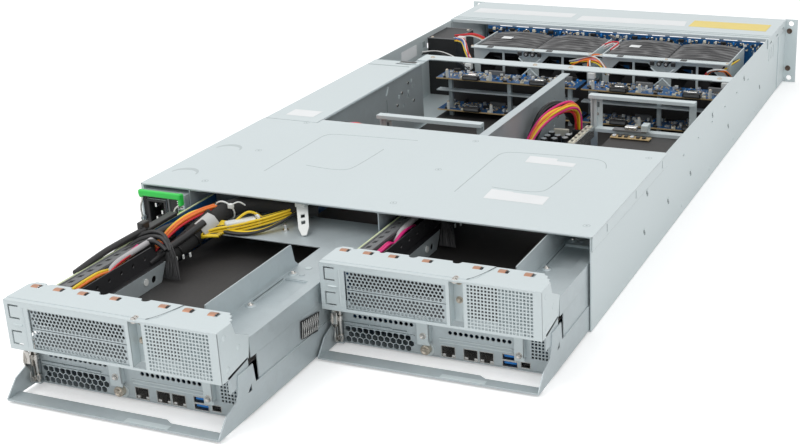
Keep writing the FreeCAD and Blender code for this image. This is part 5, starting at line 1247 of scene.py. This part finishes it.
boardParts = makeScatter()
partKinds = (   # finish, density per square millimetre, width, length, height, sides
    ("chipBlack", 0.0008, 7.0, 7.0, 1.2, 4), ("chipBlack", 0.003, 3.4, 2.4, 0.9, 4),
    ("boardEdge", 0.02, 1.9, 1.1, 0.8, 4), ("canSilver", 0.0009, 3.4, 3.4, 3.4, 16),
    ("cream", 0.007, 2.6, 1.5, 1.1, 4), ("brightTin", 0.016, 1.5, 1.0, 0.7, 4),
    ("blueTongue", 0.0006, 3.0, 2.4, 2.6, 4), ("socketBlack", 0.0003, 9.0, 3.0, 4.0, 4),
    ("nylon", 0.0014, 4.0, 2.4, 3.4, 4), ("greyPlastic", 0.0005, 4.5, 4.5, 1.8, 4),
)


def scatterParts(piece, across, along, seed, stand, crowd=1.0, tallest=9.0):
    for number, (finishName, density, width, length, height, sides) in enumerate(partKinds):
        mesh = bpy.data.meshes.new("area")
        mesh.from_pydata([(*corner, 0) for corner in oblong(across, along)], [], [range(4)])
        area = place(mesh)
        boardParts.put(area, Density=density * crowd, Seed=seed + 13 * number, Width=width,
                       Length=length, Height=min(height, tallest), Sides=sides,
                       Quarter=quarter / 2 if sides == 4 else 0.0, Finish=everyFinish[finishName])
        piece.take(settle(area), finishName, stand)


def makeBridgeBoards():
    piece = Piece("bridge_board_set")
    low, high = span("bridge_boards")
    near = low.y + 4
    for number, side in enumerate(("left", "right")):
        edge = trayOrigin(side)[0]
        for level, up in enumerate((11.6, 53.6)):
            lift = Matrix.Translation((0, 0, up))
            piece.block((edge + 2, near, up - 1.6), (edge + 193.4, high.y, up), "board", 0.2)
            scatterParts(piece, (edge + 6, edge + 189), (low.y + 12, high.y - 3),
                         20 + number * 3 + level, lift, 1.5)
            for step in range(9):   # edge contacts and blank connectors along the rear
                x = edge + 12 + 20 * step + (step % 3) * 3
                piece.block((x, low.y + 4.2, up), (x + 5, low.y + 7, up + 2.4),
                            "cream" if step % 2 else "chipBlack", 0.3)
            piece.block((edge + 2, low.y + 3.7, up - 1.7), (edge + 193, low.y + 4.1, up + 0.05),
                        "boardEdge", 0.1)
            for x in (edge + 40, edge + 132):
                piece.block((x, low.y + 0.4, up), (x + 22, low.y + 6, up + 5.6), "socketBlack", 0.5)
                piece.block((x + 1.5, low.y + 0.1, up + 1.4), (x + 20.5, low.y + 0.5, up + 4.2),
                            "railGrey")
                piece.block((x + 24, low.y + 32, up), (x + 46, low.y + 35.5, up + 6), "railGrey",
                            0.4)
                piece.block((x + 3, low.y + 12, up), (x + 15, low.y + 21, up + 4.6), "brightTin",
                            0.5)
            for x in (edge + 17, edge + 77, edge + 165):
                piece.rod((x, low.y + 6, up), (x, low.y + 6, up + 10), 2.1, "nylon", 14, bevel=0.5)
                piece.dome((x, low.y + 6, up + 10), 2.0, 1.6, upward, "screw", 14)
    floorTop, fanFace = shellLow.z + 1.22, span("fan_frame")[0].y
    for edge in (trayOrigin("left")[0],
                 trayOrigin("right")[0]):   # black sheets on the floor under the boards and across the fan frame's face: painted shade of the enclosed bay
        piece.block((edge + 3, shellLow.y + 330, floorTop),
                    (edge + 193, shellLow.y + 602, floorTop + 0.2), "film", 0.1)
        piece.block((edge + 3, fanFace - 1.1, 2), (edge + 193, fanFace - 0.5, 46), "film", 0.1)
    return piece.close("chassis", "board", ["bridge_boards"])


sleevePlan = {"reach": 40.0, "near": 4.0, "far": 79.0, "edge": 70.0, "crown": 82.4, "rise": 3.9}


def rotorMiddles():
    rotors = [span(f"fan_rotor_{number + 1}") for number in range(4)]
    return [(low.x + high.x) / 2 for low, high in rotors]


def makeFanSleeves():
    plan = sleevePlan
    piece = Piece("fan_sleeves")
    rear, rows, columns = span("fan_rotor_1")[0].y - 6, 34, 24
    for number, middle in enumerate(rotorMiddles()):

        def wrinkled(work):
            grid = []
            for row in range(rows + 1):
                depth = plan["near"] + (plan["far"] - plan["near"]) * row / rows
                line = []
                for column in range(columns + 1):
                    share = 2 * column / columns - 1
                    crown = plan["crown"] + plan["rise"] * (1 - share ** 2) ** 0.7
                    slack = math.sin(0.55 * depth + 2.3 * math.sin(3.1 * share + number) + number)
                    slack += 0.8 * math.sin(0.9 * depth + 4 * share * share + 1.7
                                            * math.sin(0.21 * depth))
                    fade = min(1, row / 4, (rows - row) / 4) * (1 - 0.5 * share ** 2)
                    line.append(work.verts.new((middle + plan["reach"] * share, rear + depth,
                                                crown + 0.62 * (slack * fade - 1))))
                line.insert(0, work.verts.new((middle - plan["reach"] - 0.6, rear + depth,
                                               plan["edge"])))
                line.append(work.verts.new((middle + plan["reach"] + 0.6, rear + depth,
                                            plan["edge"])))
                grid.append(line)
            for row in range(rows):
                for column in range(columns + 2):
                    work.faces.new((grid[row][column], grid[row][column + 1],
                                    grid[row + 1][column + 1], grid[row + 1][column]))
                work.faces.new((grid[row][-1], grid[row][0], grid[row + 1][0], grid[row + 1][-1]))
            work.faces.new(grid[0][::-1])
            work.faces.new(grid[-1])
        piece.solid(wrinkled, "sleeveFilm", smooth=True)
        if number in (0, 2):
            piece.block((middle - 17, rear + 34, 86.2), (middle - 3, rear + 46, 86.4), "paperLabel",
                        0.1)
    return piece.close("chassis", "fan_plastic")


def makeFanFrameTrim():
    piece = Piece("fan_frame_trim")
    frameLow, frameHigh = span("fan_frame")
    face, middles = frameLow.y, rotorMiddles()
    for near, far in (middles[:2], middles[2:]):
        middle = (near + far) / 2
        for shift in (-13.5, -4.5, 4.5, 13.5):
            if abs(shift) < 5:
                piece.rod((middle + shift, face - 2.6, 79.4), (middle + shift, face + 0.4, 79.4),
                          3.3, "socketBlack", 20, bevel=0.7)
                piece.rod((middle + shift, face - 2.9, 79.4), (middle + shift, face - 2.5, 79.4),
                          1.6, "greyPlastic", 14)
            else:
                piece.block((middle + shift - 2.8, face - 2.4, 76.8),
                            (middle + shift + 2.8, face + 0.2, 82), "socketBlack", 0.6)
        for sign in (-1, 1):   # crossed stays between the fans
            piece.rod((middle - sign * 15, face - 0.9, 47), (middle + sign * 15, face - 0.9, 74),
                      1.1, "shell", 8)
        for x in (near, far):
            piece.block((x - 20, face + 2, 83.5), (x - 12, face + 9, 84.6), "socketBlack", 0.4)
        for x in (near - 44, middle, far + 36):
            piece.screw((x + 3, face + 5, frameHigh.z), 1.8, upward, "screw", 0.8)
    return piece.close("chassis", "shell")


def makeBayLeads():
    piece = Piece("bay_leads")
    face = span("fan_housings")[0].y
    high = span("power_distribution_box")[1]
    ceiling = 83   # keeps the leads under the covers' level

    def bundle(start, loops, finishNames, spread=3.0, radius=0.95):
        loom(piece, [(start[0] + across, start[1] + along, min(up, ceiling))
                     for across, along, up in loops], finishNames, spread, radius, 1.6)

    mixed = ["orangeWire", "redWire", "whiteWire", "blueWire", "yellowWire", "blackWire",
             "orangeWire", "whiteWire"]
    middles = rotorMiddles()
    # left of the first fan: from the box's plug down to the boards
    bundle((high.x, face), ((2, 34, 80), (14, 26, 84), (24, 12, 81), (34, -6, 74), (42, -14, 66)),
           mixed)
    bundle((high.x, face), ((-4, 44, 81), (6, 52, 85), (20, 58, 83), (34, 60, 76)),
           ["redWire", "redWire", "whiteWire", "orangeWire"], 2.2)
    bundle((high.x, face), ((-30, -8, 70), (-12, -14, 76), (10, -18, 73), (32, -20, 64),
                            (44, -24, 58)), ["blackWire", "whiteWire", "blackWire"], 1.6, 0.9)
    piece.block((high.x + 0.5, face + 34, 76), (high.x + 11, face + 46, 83), "nylon", 0.8, 2)
    # between the pairs and at the right end
    gap = (middles[1] + middles[2]) / 2
    bundle((gap, face), ((-34, -6, 70), (-20, -10, 76), (-4, -8, 78), (10, -12, 74), (20, -20, 64)),
           mixed)
    bundle((gap, face), ((-8, 44, 80), (-2, 54, 86), (8, 58, 86), (14, 44, 83), (9, 26, 80)),
           ["whiteWire", "redWire", "whiteWire", "magentaWire", "whiteWire"], 2.6)
    bundle((gap, face), ((12, 8, 78), (0, 2, 82), (-10, -8, 78), (-6, -18, 70)),
           ["whiteWire", "orangeWire", "redWire", "blackWire"], 2.4)
    end = middles[3] + 34
    bundle((end, face), ((-22, -6, 62), (-18, -12, 72), (-6, -14, 77), (6, -10, 74), (8, -2, 64)),
           ["orangeWire", "whiteWire", "redWire", "orangeWire", "blackWire"], 2.4)
    bundle((end, face), ((-2, -8, 74), (4, 4, 80), (10, 20, 82), (8, 40, 78)),
           ["yellowWire", "blackWire", "orangeWire"], 1.8)
    for x in (middles[0] - 46, gap - 6, end + 2):
        piece.block((x, face - 24, 56), (x + 9, face - 17, 64), "nylon", 0.6)
    return piece.close("chassis", "cable_sleeve")


def makePowerBoxTrim():
    piece = Piece("power_box_trim")
    low, high = span("power_distribution_box")
    for start, stop in (((low.x, low.y, high.z), (high.x, low.y, high.z)),
                        ((high.x, low.y, high.z), (high.x, high.y, high.z)),
                        ((low.x, high.y, high.z), (high.x, high.y, high.z))):
        piece.rod(start, stop, 0.8, "railGrey", 10)
    piece.screw((low.x + 5, low.y + 5, high.z), 1.9, upward, "screw", 0.9)
    piece.screw((high.x - 5, high.y - 6, high.z), 1.9, upward, "screw", 0.9)
    return piece.close("chassis", "black_plastic")


def makeBackplaneParts():
    piece = Piece("backplane_parts")
    low, high = span("backplane")
    stand = Matrix.Translation((0, low.y, 0)) @ facing["rear"]
    scatterParts(piece, (low.x + 4, high.x - 4), (70.5, 83.5), 71, stand, 1.6, 3.4)
    scatterParts(piece, (low.x + 4, high.x - 4), (6, 28), 72, stand, 0.8, 3.4)
    x, number = low.x + 8, 0
    while x < high.x - 16:
        width = (4, 2.4, 7, 2, 3)[number % 5]
        piece.block((x, low.y - 3.2, 80.5), (x + width, low.y, 84.5),
                    ("cream", "nylon", "socketBlack", "blueTongue", "brightTin")[number % 5], 0.5)
        x += width + (7, 12, 5, 9)[number % 4]
        number += 1
    return piece.close("chassis", "board")


makeRearCover()
makeChassisTrim()
makeFrontCoverTrim()
makeBridgeBoards()
makeFanSleeves()
makeFanFrameTrim()
makeBayLeads()
makePowerBoxTrim()
makeBackplaneParts()
print("chassis ready")


# supplies: inlet, slots, bail and catch

supplyPlan = {"proud": 6.0, "inlet": (8.0, 29.0), "inletUp": (6.5, 33.5), "rim": 2.0, "deep": 16.0,
              "grip": (36.6, 42.6), "gripReach": 8.6, "gripThick": 4.2, "pivotUp": 14.0,
              "pivotBack": 3.3, "pins": ((0.35, 0.25), (0.35, 0.75), (0.65, 0.5)),
              "catch": (13.4, 25.6)}


def makeSupply(name, lift):
    plan = supplyPlan
    caseLow = span(f"{name}_psu_case")[0]
    corner = (caseLow.x, shellLow.y - plan["proud"], caseLow.z)
    front = Piece(f"{name}_supply_face", corner)
    (inletLeft, inletRight), (inletLow, inletHigh) = plan["inlet"], plan["inletUp"]
    window = oblong((inletLeft, inletRight), (inletLow, inletHigh))
    near, far = inletLeft + plan["rim"], inletRight - plan["rim"]
    bottom, top = inletLow + plan["rim"], inletHigh - plan["rim"]
    catchHole = oblong((40, 50), (plan["catch"][0] - 1, plan["catch"][1] + 1))
    field = oblong((1.2, 49.2), (1.2, 38.8))
    front.sheet([field, window, catchHole], (0, -0.5), "black_plastic", "rear")
    front.sheet([window, oblong((near, far), (bottom, top))], (-2.0, -2.6), "socketBlack", "rear")
    for (wallLeft, wallRight), (wallLow, wallHigh) in (
            ((near - 0.1, near + 0.4), (bottom, top)), ((far - 0.4, far + 0.1), (bottom, top)),
            ((near, far), (bottom - 0.1, bottom + 0.4)), ((near, far), (top - 0.4, top + 0.1))):
        front.block((wallLeft, -2.2, wallLow), (wallRight, plan["deep"], wallHigh), "socketBlack",
                    0.05)
    front.block((near, plan["deep"] - 0.6, bottom), (far, plan["deep"] - 0.2, top), "socketBlack",
                0.1)
    for across, up in plan["pins"]:
        x = inletLeft + across * (inletRight - inletLeft)
        z = inletLow + up * (inletHigh - inletLow)
        front.block((x - 1.15, 0.6, z - 2.15), (x + 1.15, plan["deep"], z + 2.15), "brightTin", 0.3)
    # frame strips at the edges and the slit bracket beside the catch
    front.block((0.4, -1.0, 0.6), (2.6, 0, 39.4), "shell", 0.3)
    front.block((30.4, -1.4, 4), (32.6, 0, 36), "railGrey", 0.4)
    for step in range(6):
        up = 27 + 2.1 * step
        front.block((41, -1.3, up), (48, -0.3, up + 1.0), "brightTin", 0.2)
    front.block((47.4, -1.5, 2), (49.4, 0, 39), "shell", 0.3)
    for step in range(5):
        for row in range(2):
            front.block((3.4 + 2 * row, -0.7, 5 + 7 * step), (4.4 + 2 * row, -0.4, 9.5 + 7 * step),
                        "socketBlack", 0.1)
    front.close(f"{name}_psu", "black_plastic")

    bail = Piece(f"{name}_supply_bail", corner)
    gripLow, gripHigh = (value + lift for value in plan["grip"])
    rear = -plan["gripReach"]
    gripLeft, gripRight = 3.2 if lift > 0 else 0.3, 50.4 if lift > 0 else 40.0
    bail.block((gripLeft, rear, gripLow), (gripRight, rear + plan["gripThick"], gripHigh),
               "green_plastic", 1.6, 4)
    bail.block((gripLeft, rear + 1, gripLow - 2), (gripLeft + 3.9, rear + 6.4, gripHigh - 0.6),
               "green_plastic", 1.3, 4)
    bail.block((gripRight - 4.2, rear + 1, gripLow - 6.5), (gripRight, rear + 6.6, gripHigh - 0.6),
               "green_plastic", 1.5, 4)
    pivotY, pivotZ = -plan["pivotBack"], plan["pivotUp"]
    for across, topAcross in ((1.5, gripLeft + 1.9), (39.0, gripRight - 2.2)):
        bail.wire([(topAcross, rear + 4.4, gripLow - 1), (topAcross, rear + 4.6, gripLow - 4.5),
                   (across, rear + 4, pivotZ + 13), (across, pivotY - 0.6, pivotZ + 3),
                   (across, pivotY, pivotZ + 1.6)], 0.95, "stainless", 7)
        ring = hoop((across, pivotY, pivotZ), (0, 1.9, 0), (0, 0, 1.9), 12)
        bail.wire(ring, 0.75, "stainless", 3, True)
    bail.close(f"{name}_psu_bail", "green_plastic", [f"{name}_psu_handle"])

    catch = Piece(f"{name}_supply_catch", corner)
    catchLow, catchHigh = plan["catch"]
    catch.block((44.6, -6.6, catchLow), (49.4, 2.2, catchHigh), "lime_plastic", 1.7, 4)
    for step in range(3):
        catch.block((45.4, -6.9, catchLow + 3 + 2.6 * step),
                    (48.6, -6.4, catchLow + 4.2 + 2.6 * step), "lime_plastic", 0.3)
    catch.close(f"{name}_psu_catch", "lime_plastic", [f"{name}_psu_latch"])


for name, lift in (("lower", -3.4), ("upper", 1.4)):
    makeSupply(name, lift)
print("supplies ready")


# floor, light and camera

studio = {"floorSize": 60.0, "floorDrop": 0.0005, "paper": 0.93, "paperGlow": 0.3, "sky": 0.75}
camera = {"sensor": 36.0, "lens": 60.768, "shift": (-0.134, -0.00175), "clip": (0.01, 100),
          "place": (0.5534, -1.41678, 0.50495), "azimuth": 22.18, "elevation": 21.03, "roll": -1.53}


def makeStudio():
    mesh = bpy.data.meshes.new("floor")
    half = studio["floorSize"] / 2
    corners = [(*corner, -studio["floorDrop"]) for corner in oblong((-half, half), (-half, half))]
    mesh.from_pydata(corners, [], [range(4)])
    floor = place(mesh)
    tree = ShaderTree("paperWhite")
    tree.set(Base_Color=(studio["paper"],) * 3, Roughness=0.9, Emission_Strength=1.0,
             Emission_Color=tree.mix(tree.add("ShaderNodeLightPath"), (0, 0, 0),
                                     (studio["paperGlow"],) * 3))
    mesh.materials.append(tree.material)

    world = bpy.context.scene.world or bpy.data.worlds.new("studioLight")
    bpy.context.scene.world = world
    world.use_nodes = True
    background = world.node_tree.nodes["Background"]
    background.inputs["Color"].default_value = (1, 1, 1, 1)
    sky = Tree()
    sky.nodes, sky.links = world.node_tree.nodes, world.node_tree.links
    seen = sum(sky.add("ShaderNodeLightPath", output=label)
               for label in ("Is Camera Ray", "Is Glossy Ray", "Is Transmission Ray"))
    sky.feed(background.inputs["Strength"], seen * (1 - studio["sky"]) + studio["sky"])

    def softBox(name, spot, size, power):
        lamp = bpy.data.lights.new(name, "AREA")
        lamp.shape, lamp.size, lamp.size_y, lamp.energy = "RECTANGLE", size[0], size[1], power
        holder = place(lamp)
        holder.location, holder.rotation_mode = spot, "QUATERNION"
        holder.rotation_quaternion = (-Vector(spot)).to_track_quat("-Z", "Y")

    softBox("keyLight", (-1.2, -1.0, 2.6), (2.0, 1.6), 26)
    softBox("fillLight", (2.2, -1.6, 1.4), (1.6, 1.4), 10)


def makeCamera():
    lens = bpy.data.cameras.new("camera")
    lens.sensor_width, lens.lens = camera["sensor"], camera["lens"]
    lens.shift_x, lens.shift_y = camera["shift"]
    lens.clip_start, lens.clip_end = camera["clip"]
    eye = place(lens)
    azimuth, elevation = math.radians(camera["azimuth"]), math.radians(camera["elevation"])
    back = Vector((math.sin(azimuth) * math.cos(elevation),
                   -math.cos(azimuth) * math.cos(elevation), math.sin(elevation)))
    turn = (-back).to_track_quat("-Z", "Y").to_matrix().to_4x4()
    roll = Matrix.Rotation(math.radians(camera["roll"]), 4, "Z")
    eye.matrix_world = Matrix.Translation(camera["place"]) @ turn @ roll
    bpy.context.scene.camera = eye
    bpy.context.scene.view_settings.view_transform = "Standard"


makeStudio()
makeCamera()
print("studio ready")
